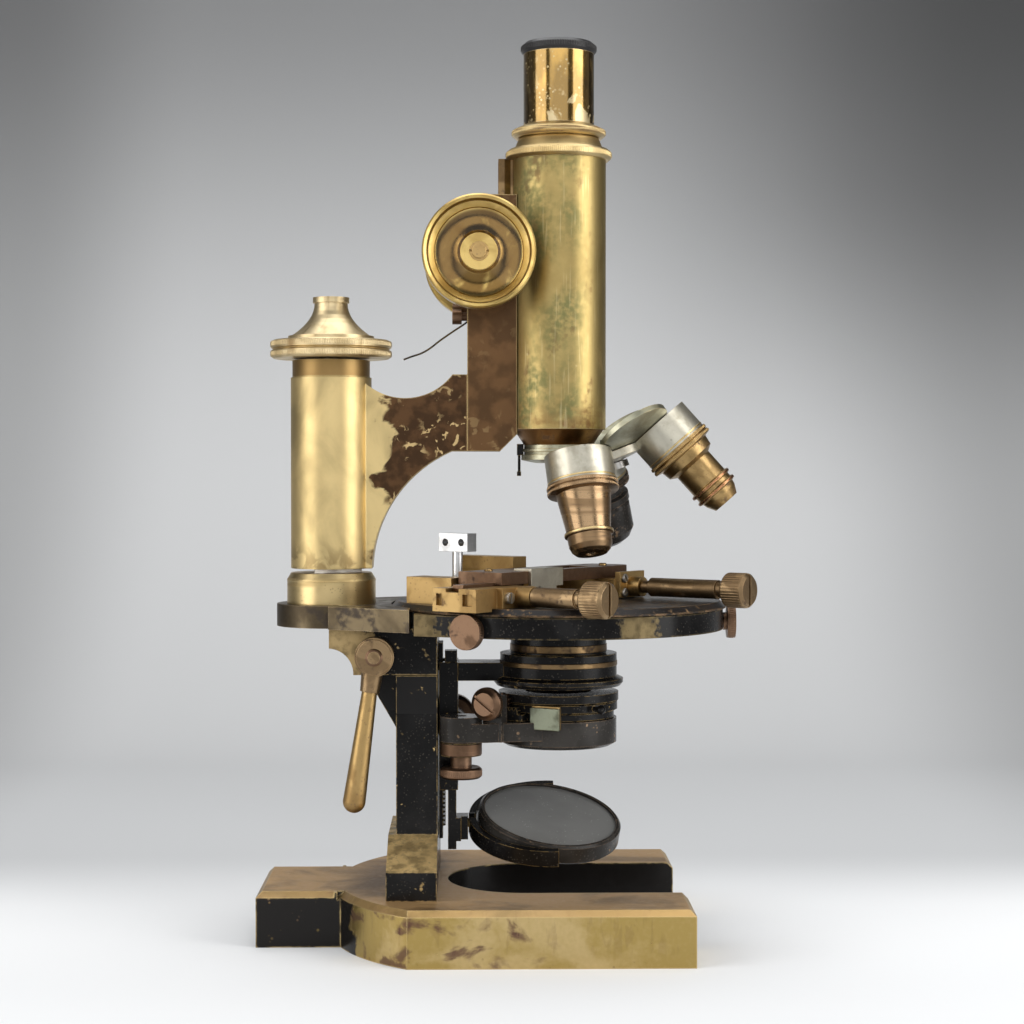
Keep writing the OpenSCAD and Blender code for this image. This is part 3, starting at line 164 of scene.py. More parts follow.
class Surface:
    """A material under construction, with its Principled shader."""

    def __init__(self, name: str) -> None:
        """Starts an empty material.

        Args:
            name: The finish's plain name.
        """
        self.material = bpy.data.materials.new(name)
        self.material.use_nodes = True
        self.tree = self.material.node_tree
        self.shader = self.tree.nodes["Principled BSDF"]
        self._place: Field | None = None

    def node(self, kind: str, settings: dict, inputs: dict, output: int | str = 0) -> Field:
        """Adds a node.

        Args:
            kind: Blender's name for the node type.
            settings: Properties that are set before the sockets.
            inputs: Socket name or number to a number, a tuple or a field.
            output: The output socket to give back.

        Returns:
            The output as a field.
        """
        made = self.tree.nodes.new(kind)
        for name, value in settings.items():
            setattr(made, name, value)
        for name, value in inputs.items():
            if isinstance(value, Field):
                self.tree.links.new(value.socket, made.inputs[name])
            else:
                made.inputs[name].default_value = value
        return Field(self, made.outputs[output])

    def place(self) -> Field:
        """Gives the place on the resting object, in metres."""
        if self._place is None:
            self._place = self.node("ShaderNodeTexCoord", {}, {}, "Object")
        return self._place

    def along(self, axis: Axis) -> Field:
        """Gives one coordinate of the resting object, in millimetres."""
        split = self.node("ShaderNodeSeparateXYZ", {}, {0: self.place()}, axis.value)
        return split * (1.0 / MM)

    def facing(self, axis: Axis) -> Field:
        """Gives one part of the resting object's surface direction, from -1 to 1."""
        direction = self.node("ShaderNodeTexCoord", {}, {}, "Normal")
        return self.node("ShaderNodeSeparateXYZ", {}, {0: direction}, axis.value)

    def noise(self, size: float, detail: float = 4.0, stretch: Point = (1.0, 1.0, 1.0),
              shift: float = 0.0, warp: float = 0.0) -> Field:
        """Gives soft noise from 0 to 1.

        Args:
            size: The size of its blotches in millimetres.
            detail: How many finer layers it has.
            stretch: How much longer the blotches are along each axis.
            shift: Moves the pattern, so that two noises differ.
            warp: How strongly the pattern is stirred.

        Returns:
            The noise.
        """
        scale = tuple(1.0 / (size * MM * s) for s in stretch)
        sockets = {"Vector": self.moved(shift, scale), "Scale": 1.0, "Detail": detail, "Distortion": warp}
        return self.node("ShaderNodeTexNoise", {}, sockets)

    def moved(self, shift: float, scale: Point) -> Field:
        """Gives the place on the resting object, moved and scaled for a pattern.

        Args:
            shift: How far it is moved along each axis.
            scale: What each axis is multiplied by.

        Returns:
            The place.
        """
        return self.node("ShaderNodeMapping", {}, {0: self.place(), 1: (shift, shift, shift), 3: scale})

    def patches(self, size: float, share: float, soft: float = 0.05,
                stretch: Point = (1.0, 1.0, 1.0), shift: float = 0.0) -> Field:
        """Gives ragged patches.

        Args:
            size: The size of a patch in millimetres.
            share: Roughly what share of the surface they cover.
            soft: How soft their edges are.
            stretch: How much longer they are along each axis.
            shift: Moves the pattern.

        Returns:
            The mask, 1 inside a patch.
        """
        edge = 0.5 + (0.5 - share) * 0.42
        cloud = self.noise(size, detail=6.0, stretch=stretch, shift=shift, warp=0.6)
        return cloud.rises(edge - soft, edge + soft)

    def specks(self, spacing: float, reach: float, share: float = 0.5, shift: float = 0.0) -> Field:
        """Gives small round specks in random cells.

        Args:
            spacing: The distance between cells in millimetres.
            reach: The largest radius of a speck, as a share of the spacing.
            share: What share of the cells hold one.
            shift: Moves the pattern.

        Returns:
            The mask, 1 inside a speck.
        """
        scale = (1.0 / (spacing * MM),) * 3
        sockets = {"Vector": self.moved(shift, scale), "Scale": 1.0}
        near = self.node("ShaderNodeTexVoronoi", {}, sockets, "Distance")
        empty = 1.0 - share
        wide = self.noise(spacing * 3.0, detail=2.0, shift=shift + 3.1).rises(empty - 0.1, empty + 0.1)
        return near.rises(reach, reach * 0.55) * wide

    def edges(self, radius: float, low: float = 0.02, high: float = 0.12) -> Field:
        """Gives a mask along sharp edges.

        Args:
            radius: How far it reaches from the edge, in millimetres.
            low: The bend at which it starts.
            high: The bend at which it is full.

        Returns:
            The mask, 1 on the edge.
        """
        soft = self.rounded(radius, 6)
        hard = self.node("ShaderNodeNewGeometry", {}, {}, "Normal")
        match = self.vector("DOT_PRODUCT", {0: soft, 1: hard}, "Value")
        return (1.0 - match).rises(low, high)

    def vector(self, operation: str, inputs: dict, output: int | str = 0) -> Field:
        """Adds a Vector Math node.

        Args:
            operation: Blender's name for what it does.
            inputs: Socket name or number to a number, a tuple or a field.
            output: The output socket to give back.

        Returns:
            The output as a field.
        """
        return self.node("ShaderNodeVectorMath", {"operation": operation}, inputs, output)

    def mix(self, first: Colour | Field, second: Colour | Field, mask: Value) -> Field:
        """Blends two colours.

        Args:
            first: The colour where the mask is 0.
            second: The colour where the mask is 1.
            mask: The mask.

        Returns:
            The blend.
        """
        made = self.tree.nodes.new("ShaderNodeMix")
        made.data_type = "RGBA"
        for number, value in ((MIX_MASK, mask), (MIX_FIRST, first), (MIX_SECOND, second)):
            self.set(made.inputs[number], value)
        return Field(self, made.outputs[MIX_RESULT])

    def set(self, socket: bpy.types.NodeSocket, value: Value | Colour) -> None:
        """Links a field to a socket, or sets the socket to a number or a colour.

        Args:
            socket: The input socket.
            value: What it gets.
        """
        if isinstance(value, Field):
            self.tree.links.new(value.socket, socket)
        elif isinstance(value, tuple):
            socket.default_value = (*value, 1.0)
        else:
            socket.default_value = value

    def tone(self, colour: Colour | Field, gain: Value) -> Field:
        """Makes a colour lighter or darker.

        Args:
            colour: The colour.
            gain: What it is multiplied by.

        Returns:
            The new colour.
        """
        return self.vector("SCALE", {0: colour, "Scale": gain})

    def rounded(self, radius: float, samples: int = 4) -> Field:
        """Gives a surface direction that rounds sharp edges.

        Args:
            radius: The edge's radius in millimetres.
            samples: How many directions are averaged.

        Returns:
            The direction.
        """
        return self.node("ShaderNodeBevel", {"samples": samples}, {"Radius": radius * MM})

    def bump(self, height: Field, depth: float, over: Field | None = None) -> Field:
        """Gives the surface direction over small hollows.

        Args:
            height: The height, from 0 to 1.
            depth: What a height of 1 is, in millimetres.
            over: The direction that it starts from.

        Returns:
            The direction.
        """
        sockets: dict = {"Height": height, "Distance": depth * MM, "Strength": 1.0}
        if over is not None:
            sockets["Normal"] = over
        return self.node("ShaderNodeBump", {}, sockets)

    def wear(self, sockets: dict[str, Value | Colour]) -> bpy.types.Material:
        """Links values to the shader's sockets.

        Args:
            sockets: Socket name to a number, colour or field.

        Returns:
            The finished material.
        """
        for name, value in sockets.items():
            self.set(self.shader.inputs[name], value)
        return self.material


@dataclass(frozen=True)
class AgedBrass:
    """Old brass: tarnish clouds, dark stains, fine scratches and brighter edges."""

    name: str
    bright: Colour
    dull: Colour
    stain: Colour = (0.07, 0.04, 0.022)
    dull_share: float = 0.5
    stain_share: float = 0.1
    patch: float = 9.0
    rough: float = 0.26
    coat: float = 0.0
    edge_gain: float = 1.25
    round_edge: float = 0.35
    lie: Point = (1.0, 1.0, 1.0)

    def build(self) -> bpy.types.Material:
        """Makes the material.

        Returns:
            The material.
        """
        made = Surface(self.name)
        cloud = made.noise(self.patch * 2.2, detail=5.0, stretch=self.lie, shift=1.3, warp=0.5)
        dull = cloud.rises(0.62 - self.dull_share * 0.3, 0.72 - self.dull_share * 0.3)
        fine = made.noise(self.patch * 0.22, stretch=self.lie, shift=5.2)
        stain = made.patches(self.patch, self.stain_share, stretch=self.lie, shift=7.7)
        stain = stain * fine.rises(0.35, 0.6)
        pits = made.specks(self.patch * 0.16, 0.34, share=0.45, shift=2.9)
        edge = made.edges(0.5)
        base = made.mix(self.bright, self.dull, (dull * 0.75 + (fine - 0.5) * 0.5).clamped())
        base = made.mix(base, self.stain, (stain * 0.8 + pits * 0.45).clamped())
        base = made.tone(base, 1.0 + edge * (self.edge_gain - 1.0))
        scratch = made.noise(0.35, detail=3.0, stretch=(14.0, 1.0, 5.0), shift=9.1)
        rough = self.rough + dull * 0.1 + stain * 0.25 + (scratch - 0.5) * 0.12
        soft = made.rounded(self.round_edge)
        relief = made.bump(scratch * 0.5 + fine * 0.8 - stain * 0.3, depth=0.012, over=soft)
        return made.wear({
            "Base Color": base,
            "Metallic": (1.0 - stain * 0.45 - pits * 0.3).clamped(),
            "Roughness": rough.clamped(),
            "Coat Weight": self.coat,
            "Coat Roughness": 0.08,
            "Normal": relief,
        })


@dataclass(frozen=True)
class BlackLacquer:
    """Black lacquer over brass, rubbed through along its edges and in small chips."""

    name: str
    black: Colour = (0.0055, 0.0052, 0.0052)
    metal: Colour = (0.52, 0.35, 0.13)
    reach: float = 0.9
    rubbed: float = 1.0
    chips: float = 0.12
    rough: float = 0.2
    dust: float = 0.45
    dust_tone: Colour = (0.085, 0.075, 0.06)
    bare_before_x: float | None = None
    border: float = 26.0
    rubbed_spot: Point | None = None
    spot_edge: Row = (8.5, 6.0)
    bare_slopes: bool = False
    plain_above: float | None = None

    def bare(self, made: Surface, ragged: Field) -> Field:
        """Gives the mask of the places where the lacquer is gone.

        Args:
            made: The material under construction.
            ragged: The noise that makes the borders ragged.

        Returns:
            The mask.
        """
        worn = made.edges(self.reach, low=0.015, high=0.1) * ragged.rises(0.36, 0.52) * self.rubbed
        chipped = made.patches(6.0, self.chips, soft=0.02, shift=8.4)
        worn = worn + chipped * made.specks(1.5, 0.5, share=0.55, shift=6.6)
        if self.bare_before_x is not None:
            across = made.along(Axis.X) + (ragged - 0.5) * self.border
            worn = worn + across.rises(self.bare_before_x + 1.5, self.bare_before_x - 1.5)
        if self.rubbed_spot is not None:
            spot = shade(self.rubbed_spot, MM)
            away = made.vector("DISTANCE", {0: made.place(), 1: spot}, "Value")
            reach = away * (1.0 / MM) + (ragged - 0.5) * 12.0
            worn = worn + reach.rises(*self.spot_edge)
        if self.bare_slopes:
            worn = worn + made.facing(Axis.Z).rises(0.2, 0.35) * (0.6 + ragged.rises(0.4, 0.5) * 0.4)
        return worn.clamped()

    def build(self) -> bpy.types.Material:
        """Makes the material.

        Returns:
            The material.
        """
        made = Surface(self.name)
        ragged = made.noise(2.4, detail=5.0, shift=4.2)
        bare = self.bare(made, ragged)
        dust = made.specks(1.1, 0.3, share=0.5, shift=1.7)
        haze = made.noise(14.0, detail=5.0, shift=2.2).rises(0.4, 0.7)
        if self.plain_above is not None:
            high = made.along(Axis.Z).rises(self.plain_above - 0.3, self.plain_above)
            dust = dust * (1.0 - high)
            haze = (haze * (1.0 - high) + high).clamped()
        hazy = tuple(part * 1.7 + 0.003 for part in self.black)
        coat = made.mix(self.black, hazy, haze)
        coat = made.mix(coat, self.dust_tone, dust * self.dust)
        cloud = made.noise(5.0, detail=5.0, shift=5.0).rises(0.4, 0.64)
        metal = made.mix(self.metal, shade(self.metal, 0.5), cloud)
        rough = self.rough + haze * 0.1 + bare * 0.25 + dust * 0.2
        relief = made.bump(1.0 - bare * 0.7 + ragged * 0.25, depth=0.03, over=made.rounded(0.3))
        return made.wear({
            "Base Color": made.mix(coat, metal, bare),
            "Metallic": bare * 0.75,
            "Specular IOR Level": 0.13,
            "Roughness": rough.clamped(),
            "Normal": relief,
        })


@dataclass(frozen=True)
class ArmPatina:
    """The arm: pale gold on the sleeve, brown and spotted on the bow, warmer on the tube guide."""

    name: str
    gold: Colour = (0.67, 0.515, 0.245)
    brown: Colour = (0.048, 0.024, 0.010)
    guide: Colour = (0.135, 0.07, 0.029)
    spot: Colour = (0.58, 0.42, 0.2)
    foot_stain: Colour = (0.16, 0.1, 0.04)
    neck: Colour = (0.22, 0.13, 0.045)
    sleeve_edge: float = -12.5
    sleeve_border: float = 34.0
    guide_edge: float = 17.0
    dense_spots: Row = (202.0, 184.0)
    stained_foot: Row = (146.0, 133.0)
    neck_height: Row = (201.2, 202.2)
    neck_front: Row = (-15.0, -16.5)

    def build(self) -> bpy.types.Material:
        """Makes the material.

        Returns:
            The material.
        """
        made = Surface(self.name)
        across = made.along(Axis.X)
        height = made.along(Axis.Z)
        ragged = made.noise(11.0, detail=7.0, shift=3.3, warp=0.8)
        side = abs(made.facing(Axis.Y)).rises(0.35, 0.75)
        brown = across + (ragged - 0.5) * self.sleeve_border
        brown = brown.rises(self.sleeve_edge - 1.0, self.sleeve_edge + 1.6)
        brown = brown * (0.35 + side * 0.65)
        guide = across.rises(self.guide_edge, self.guide_edge + 0.8)
        spotty = made.patches(15.0, 0.42, soft=0.06, shift=0.6)
        spots = made.patches(3.2, 0.3, soft=0.02, shift=6.1) * spotty
        spots = spots * (1.0 - guide * 0.8) + made.specks(1.5, 0.2, share=0.3, shift=4.1) * 0.6
        low = height.rises(*self.dense_spots)
        cloud = made.noise(18.0, detail=5.0, stretch=(1.0, 1.0, 1.6), shift=2.7, warp=0.4)
        gold = made.mix(self.gold, shade(self.gold, 0.66), cloud.rises(0.42, 0.68))
        stained = height.rises(*self.stained_foot) * made.patches(7.0, 0.45, soft=0.06, shift=4.4)
        gold = made.mix(gold, self.foot_stain, stained * 0.6)
        neck = height.rises(*self.neck_height) * across.rises(*self.neck_front)
        gold = made.mix(gold, self.neck, neck * 0.85)
        mottled = made.noise(5.0, detail=5.0, shift=8.0).rises(0.4, 0.65)
        dark = made.mix(self.brown, shade(self.brown, 2.0), mottled)
        clouded = made.noise(9.0, detail=5.0, shift=1.0).rises(0.42, 0.6)
        warm = made.mix(self.guide, shade(self.guide, 0.6), clouded)
        base = made.mix(gold, dark, brown)
        base = made.mix(base, warm, guide * 0.85)
        spotted = (spots * brown * (0.35 + low * 0.6)).clamped()
        base = made.mix(base, self.spot, spotted)
        edge = made.edges(0.8)
        base = made.mix(base, self.gold, edge * 0.55)
        rough = 0.43 + (ragged - 0.5) * 0.2 - edge * 0.08
        fine = made.noise(0.5, detail=3.0, stretch=(1.0, 1.0, 9.0), shift=9.4)
        relief = made.bump(fine * 0.35 + spotted * 0.6 + ragged * 0.4, depth=0.03, over=made.rounded(0.6))
        return made.wear({
            "Base Color": base,
            "Metallic": (1.0 - brown * 0.3 * (1.0 - spotted)).clamped(),
            "Specular IOR Level": 0.3,
            "Roughness": rough.clamped(),
            "Normal": relief,
        })


@dataclass(frozen=True)
class FootFinish:
    """The foot: tan patina on top, stained brass on the sides, black on the heel and in the bay."""

    name: str
    top: Colour = (0.55, 0.345, 0.155)
    side: Colour = (0.42, 0.30, 0.10)
    pale: Colour = (0.60, 0.45, 0.22)
    purple: Colour = (0.10, 0.045, 0.04)
    fleck: Colour = (0.07, 0.04, 0.02)
    shadow: Colour = (0.11, 0.06, 0.03)
    # light: pale specks on the top, painted highlights
    light: Colour = (0.66, 0.5, 0.29)
    black: Colour = (0.009, 0.0078, 0.007)
    heel_end: float = -21.5
    heel_border: float = 9.0
    bay: float = 27.8
    bay_start: Row = (9.0, 10.0)
    stained_side: Row = (52.0, 34.0)
    drip_rise: Row = (2.0, 9.0)
    plinth_front: Row = (20.0, 6.0)
    plinth_back: Row = (-30.0, -14.0)

    def build(self) -> bpy.types.Material:
        """Makes the material.

        Returns:
            The material.
        """
        made = Surface(self.name)
        across = made.along(Axis.X)
        depth = abs(made.along(Axis.Y))
        height = made.along(Axis.Z)
        ragged = made.noise(7.0, detail=6.0, shift=2.4, warp=0.6)
        up = made.facing(Axis.Z).rises(0.5, 0.85)
        heel = across + (ragged - 0.5) * self.heel_border
        heel = heel.rises(self.heel_end + 0.8, self.heel_end - 0.8)
        inside = depth.rises(self.bay + 0.1, self.bay - 0.1) * across.rises(*self.bay_start)
        lacquer = (heel + inside).clamped() * (1.0 - up)
        edge = made.edges(1.0, low=0.015, high=0.09)
        chips = made.specks(1.6, 0.4, share=0.3, shift=5.5) * (1.0 - inside)
        chipped = edge * ragged.rises(0.38, 0.55) + chips
        lacquer = (lacquer - chipped).clamped()
        cloud = made.noise(20.0, detail=6.0, stretch=(1.8, 1.0, 1.0), shift=6.3, warp=0.7)
        fine = made.noise(1.6, detail=5.0, shift=1.2)
        clear = (cloud.rises(0.46, 0.62) * 0.7 + (fine - 0.5) * 0.7).clamped()
        side = made.mix(self.side, self.pale, clear)
        stains = made.patches(10.0, 0.3, stretch=(1.5, 1.0, 1.0), shift=3.8)
        stains = stains * across.rises(*self.stained_side)
        drip = made.patches(5.0, 0.3, soft=0.04, stretch=(0.6, 1.0, 3.0), shift=7.1)
        drip = drip * height.rises(*self.drip_rise)
        side = made.mix(side, self.purple, (stains * 0.8 + drip * 0.14).clamped())
        spots = made.specks(1.9, 0.3, share=0.3, shift=9.6) * made.patches(16.0, 0.5, soft=0.1, shift=2.0)
        side = made.mix(side, self.fleck, spots * 0.6)
        wide = made.noise(26.0, detail=6.0, stretch=(1.4, 1.0, 1.0), shift=8.8, warp=0.5)
        top = made.mix(self.top, shade(self.top, 0.5), wide.rises(0.5, 0.68))
        near_plinth = across.rises(*self.plinth_front) * across.rises(*self.plinth_back)
        top = made.mix(top, self.shadow, near_plinth * wide.rises(0.4, 0.6) * 0.6)
        # Painted highlights: pale specks on the top
        top = made.mix(top, self.light, made.specks(3.4, 0.4, share=0.3, shift=0.7) * 0.35)
        base = made.mix(side, top, up)
        base = made.mix(base, self.pale, edge * 0.9)
        base = made.mix(base, self.black, lacquer)
        rough = 0.33 + up * 0.12 + (fine - 0.5) * 0.25 - lacquer * 0.12
        hollows = fine * 0.5 + spots * -0.6 + ragged * 0.5 + lacquer * 0.4
        relief = made.bump(hollows, depth=0.05, over=made.rounded(0.45))
        return made.wear({
            "Base Color": base,
            "Metallic": ((1.0 - lacquer) * (1.0 - up * 0.3) - stains * 0.25).clamped(),
            "Specular IOR Level": 0.2,
            "Roughness": rough.clamped(),
            "Normal": relief,
        })


@dataclass(frozen=True)
class PlatedMetal:
    """Nickel plate or bare steel with a worn, slightly stained surface."""

    name: str
    pale: Colour
    dark: Colour
    rough: float = 0.22
    under: Colour = (0.5, 0.36, 0.16)
    fleck: Colour = (0.06, 0.05, 0.04)
    worn: float = 0.5

    def build(self) -> bpy.types.Material:
        """Makes the material.

        Returns:
            The material.
        """
        made = Surface(self.name)
        cloud = made.noise(8.0, detail=6.0, shift=1.9, warp=0.4)
        fine = made.noise(0.8, shift=3.0)
        edge = made.edges(0.45)
        dull = (cloud.rises(0.42, 0.66) * 0.7 + (fine - 0.5) * 0.4).clamped()
        base = made.mix(self.pale, self.dark, dull)
        rubbed = edge * cloud.rises(0.4, 0.55) * self.worn
        base = made.mix(base, self.under, rubbed)
        base = made.mix(base, self.fleck, made.specks(1.8, 0.32, share=0.35, shift=4.4) * 0.5)
        rough = self.rough + cloud.rises(0.4, 0.7) * 0.14 + (fine - 0.5) * 0.12
        return made.wear({
            "Base Color": base,
            "Metallic": 1.0,
            "Roughness": rough.clamped(),
            "Normal": made.bump(fine, depth=0.01, over=made.rounded(0.25)),
        })


@dataclass(frozen=True)
class Ebonite:
    """The eyepiece's polished black cap."""

    name: str
    black: Colour = (0.016, 0.015, 0.015)
    grey: Colour = (0.07, 0.068, 0.068)

    def build(self) -> bpy.types.Material:
        """Makes the material.

        Returns:
            The material.
        """
        made = Surface(self.name)
        fine = made.noise(0.6, shift=2.0)
        edge = made.edges(0.5)
        rubbed = (edge * 0.3 + fine.rises(0.58, 0.75) * 0.25).clamped()
        base = made.mix(self.black, self.grey, rubbed)
        return made.wear({
            "Base Color": base,
            "Roughness": 0.24 + fine * 0.14,
            "Specular IOR Level": 0.3,
            "Normal": made.bump(fine, depth=0.012, over=made.rounded(0.3)),
        })


@dataclass(frozen=True)
class ClearGlass:
    """A lens."""

    name: str
    tint: Colour = (0.92, 0.96, 0.95)

    def build(self) -> bpy.types.Material:
        """Makes the material.

        Returns:
            The material.
        """
        made = Surface(self.name)
        dust = made.specks(0.9, 0.25, share=0.3, shift=1.0)
        return made.wear({
            "Base Color": self.tint,
            "Roughness": 0.02 + dust * 0.2,
            "Transmission Weight": 1.0,
            "IOR": 1.52,
        })


@dataclass(frozen=True)
class OldMirror:
    """Mirror glass whose silvering has gone grey."""

    name: str
    silver: Colour = (0.275, 0.275, 0.265)
    dust: Colour = (0.4, 0.39, 0.36)

    def build(self) -> bpy.types.Material:
        """Makes the material.

        Returns:
            The material.
        """
        made = Surface(self.name)
        cloud = made.noise(16.0, detail=5.0, shift=5.0)
        dust = made.specks(1.2, 0.22, share=0.4, shift=2.0)
        base = made.mix(self.silver, shade(self.silver, 0.86), cloud.rises(0.4, 0.65))
        base = made.mix(base, self.dust, dust * 0.12)
        return made.wear({
            "Base Color": base,
            "Metallic": 0.35,
            "Roughness": (0.22 + cloud * 0.06 + dust * 0.1).clamped(),
            "Coat Weight": 0.6,
            "Coat Roughness": 0.05,
        })


@dataclass(frozen=True)
class SpunBrass:
    """Brass turned on a lathe: fine rings round its axis, soft tarnish and radial stains (on the dish also
    painted dark reflection).
    """

    name: str
    centre: Point
    axis: Axis
    bright: Colour
    dull: Colour
    stain: Colour = (0.10, 0.06, 0.025)
    stain_share: float = 0.25
    rough: float = 0.2
    coat: float = 0.0
    streaks: float = 7.0
    twist: float = 90.0
    ring_pitch: float = 3.4
    # Radii between which the stain is kept; on the coarse knobs' dish that stain is partly painted dark
    # reflection
    stained: Row | None = None
    soft_edge: float = 1.5

    def build(self) -> bpy.types.Material:
        """Makes the material.

        Returns:
            The material.
        """
        made = Surface(self.name)
        shift = made.vector("SUBTRACT", {0: made.place(), 1: shade(self.centre, MM)})
        keep = tuple(0.0 if self.axis.value == letter else 1.0 for letter in "XYZ")
        flat = made.vector("MULTIPLY", {0: shift, 1: keep})
        radius = made.vector("LENGTH", {0: flat}, "Value")
        spoke = made.vector("NORMALIZE", {0: flat})
        spread = made.vector("SCALE", {0: spoke, "Scale": self.streaks})
        inward = made.node("ShaderNodeCombineXYZ", {}, {number: radius * self.twist for number in range(3)})
        lookup = made.vector("ADD", {0: spread, 1: inward})
        sockets = {"Vector": lookup, "Scale": 1.0, "Detail": 5.0, "Distortion": 0.4}
        rays = made.node("ShaderNodeTexNoise", {}, sockets)
        cloud = made.noise(9.0, detail=5.0, shift=2.6, warp=0.4)
        edge_of = 0.5 + (0.5 - self.stain_share) * 0.4
        stain = (rays * 0.65 + cloud * 0.35).rises(edge_of - 0.1, edge_of + 0.12)
        # On the dish the stain fills most of the hollow: partly real stain, partly painted dark reflection
        if self.stained is not None:
            inner, outer = (reach * MM for reach in self.stained)
            soft = self.soft_edge * MM
            stain = stain * radius.rises(inner, inner + soft) * radius.rises(outer, outer - soft)
        dull = cloud.rises(0.42, 0.66)
        edge = made.edges(0.5)
        base = made.mix(self.bright, self.dull, dull * 0.8)
        base = made.mix(base, self.stain, stain * 0.85)
        base = made.tone(base, 1.0 + edge * 0.3)
        turn = radius * (1.0 / MM)
        settings = {"noise_dimensions": "1D"}
        rings = made.node("ShaderNodeTexNoise", settings, {"W": turn * self.ring_pitch, "Detail": 3.0})
        rough = self.rough + dull * 0.08 + (rings - 0.5) * 0.08
        relief = made.bump(rings, depth=0.006, over=made.rounded(0.3))
        if self.stained is not None:
            inner, outer = self.stained
            away = abs(turn - (inner + outer) / 2.0) * (2.0 / (outer - inner))
            relief = made.bump(away.clamped() ** 2.0, depth=1.3, over=relief)
            rough = rough + away.rises(0.96, 1.04) * 0.14
        return made.wear({
            "Base Color": base,
            "Metallic": 1.0,
            "Roughness": rough.clamped(),
            "Coat Weight": self.coat,
            "Coat Roughness": 0.06,
            "Normal": relief,
        })


@dataclass(frozen=True)
class TubeBrass:
    """The body tube: satin yellow brass with green and brown clouds and long fine scratches."""

    name: str
    bright: Colour = (0.42, 0.315, 0.125)
    dull: Colour = (0.27, 0.195, 0.072)
    green: Colour = (0.12, 0.14, 0.05)
    brown: Colour = (0.22, 0.12, 0.045)
    bare: Colour = (0.86, 0.74, 0.46)
    green_side: Row = (63.0, 54.0)
    brown_foot: Row = (196.0, 184.0)

    def build(self) -> bpy.types.Material:
        """Makes the material.

        Returns:
            The material.
        """
        made = Surface(self.name)
        height = made.along(Axis.Z)
        cloud = made.noise(26.0, detail=6.0, stretch=(1.0, 1.0, 1.5), shift=0.9, warp=0.5)
        fine = made.noise(2.2, detail=5.0, shift=3.9)
        green = made.patches(13.0, 0.46, soft=0.14, stretch=(1.0, 1.0, 1.8), shift=2.2)
        green = green * fine.rises(0.2, 0.66) * made.along(Axis.X).rises(*self.green_side)
        brown = made.patches(9.0, 0.28, soft=0.06, stretch=(1.0, 1.0, 2.4), shift=8.1)
        brown = brown * fine.rises(0.42, 0.6)
        ragged = made.noise(5.0, detail=5.0, stretch=(1.0, 1.0, 0.5), shift=1.6)
        low = height.rises(*self.brown_foot) * ragged.rises(0.35, 0.6)
        scratch = made.noise(0.7, detail=3.0, stretch=(1.2, 1.2, 26.0), shift=7.7).rises(0.6, 0.7)
        nicks = made.specks(5.5, 0.12, share=0.3, shift=6.4)
        dull = (cloud.rises(0.4, 0.68) * 0.8 + (fine - 0.5) * 0.35).clamped()
        base = made.mix(self.bright, self.dull, dull)
        base = made.mix(base, self.green, green * 0.8)
        base = made.mix(base, self.brown, (brown * 0.55 + low * 0.5).clamped())
        bare = (scratch * 0.16 + nicks * 0.6 + made.edges(0.5) * 0.4).clamped()
        base = made.mix(base, self.bare, bare)
        grain = made.noise(0.3, detail=3.0, stretch=(1.0, 1.0, 16.0), shift=9.9)
        rough = 0.4 + green * 0.12 + brown * 0.12 + (grain - 0.5) * 0.16 + (fine - 0.5) * 0.08
        hollows = grain * 0.4 + fine * 0.4 - nicks * 1.5
        return made.wear({
            "Base Color": base,
            "Metallic": (1.0 - green * 0.3 - brown * 0.2).clamped(),
            "Roughness": rough.clamped(),
            "Normal": made.bump(hollows, depth=0.016, over=made.rounded(0.3)),
        })


@dataclass(frozen=True)
class LacqueredBrass:
    """Glossy brown-gold lacquer, worn to tan patches with specks at their edges."""

    name: str
    lacquer: Colour = (0.24, 0.145, 0.035)
    worn: Colour = (0.62, 0.50, 0.29)
    share: float = 0.3
    worn_low: float = 293.0
    worn_high: float = 306.0

    def build(self) -> bpy.types.Material:
        """Makes the material.

        Returns:
            The material.
        """
        made = Surface(self.name)
        height = made.along(Axis.Z)
        band = height.rises(self.worn_high, self.worn_low)
        patch = made.patches(8.0, self.share, soft=0.03, stretch=(1.0, 1.0, 1.4), shift=3.0)
        patch = patch * (0.25 + band * 0.75)
        specks = made.specks(1.4, 0.4, share=0.45, shift=8.0)
        specks = specks * made.patches(12.0, 0.5, soft=0.08, shift=1.0)
        bare = (patch + specks * 0.7 + made.edges(0.6) * 0.7).clamped()
        cloud = made.noise(10.0, stretch=(1.0, 1.0, 2.0), shift=4.6)
        lacquer = made.mix(self.lacquer, shade(self.lacquer, 2.1), cloud.rises(0.4, 0.65))
        fine = made.noise(0.8, shift=6.0)
        return made.wear({
            "Base Color": made.mix(lacquer, self.worn, bare),
            "Metallic": (1.0 - bare * 0.25).clamped(),
            "Roughness": (0.15 + bare * 0.24 + (fine - 0.5) * 0.1).clamped(),
            "Coat Weight": (0.8 - bare * 0.8).clamped(),
            "Coat Roughness": 0.04,
            "Normal": made.bump(1.0 - bare * 0.6 + fine * 0.2, depth=0.012, over=made.rounded(0.3)),
        })


@dataclass(frozen=True)
class Rider:
    """What a new piece is made of and what it moves with."""

    body: str
    finish: bpy.types.Material
    slot: str


# One ridge of milling: where along it a corner lies, and how high it stands
RIDGE = ((0.0, 0.0), (0.28, 0.85), (0.5, 1.0), (0.72, 0.85))


@dataclass(frozen=True)
class Milling:
    """The size of a band of straight milling, measured along its own axis."""

    radius: float
    low: float
    high: float
    teeth: int
    depth: float
    slant: float
    wall: float = 1.2


@dataclass(frozen=True)
class Band:
    """The size of a plain ring with bevelled outer edges, measured along its own axis."""

    inner: float
    outer: float
    low: float
    high: float
    bevel: float = 0.25


def circle(steps: int) -> list[Row]:
    """Gives evenly spaced points on a circle of radius 1.

    Args:
        steps: How many points there are.

    Returns:
        The points, from +X on.
    """
    return [(math.cos(math.tau * i / steps), math.sin(math.tau * i / steps)) for i in range(steps)]


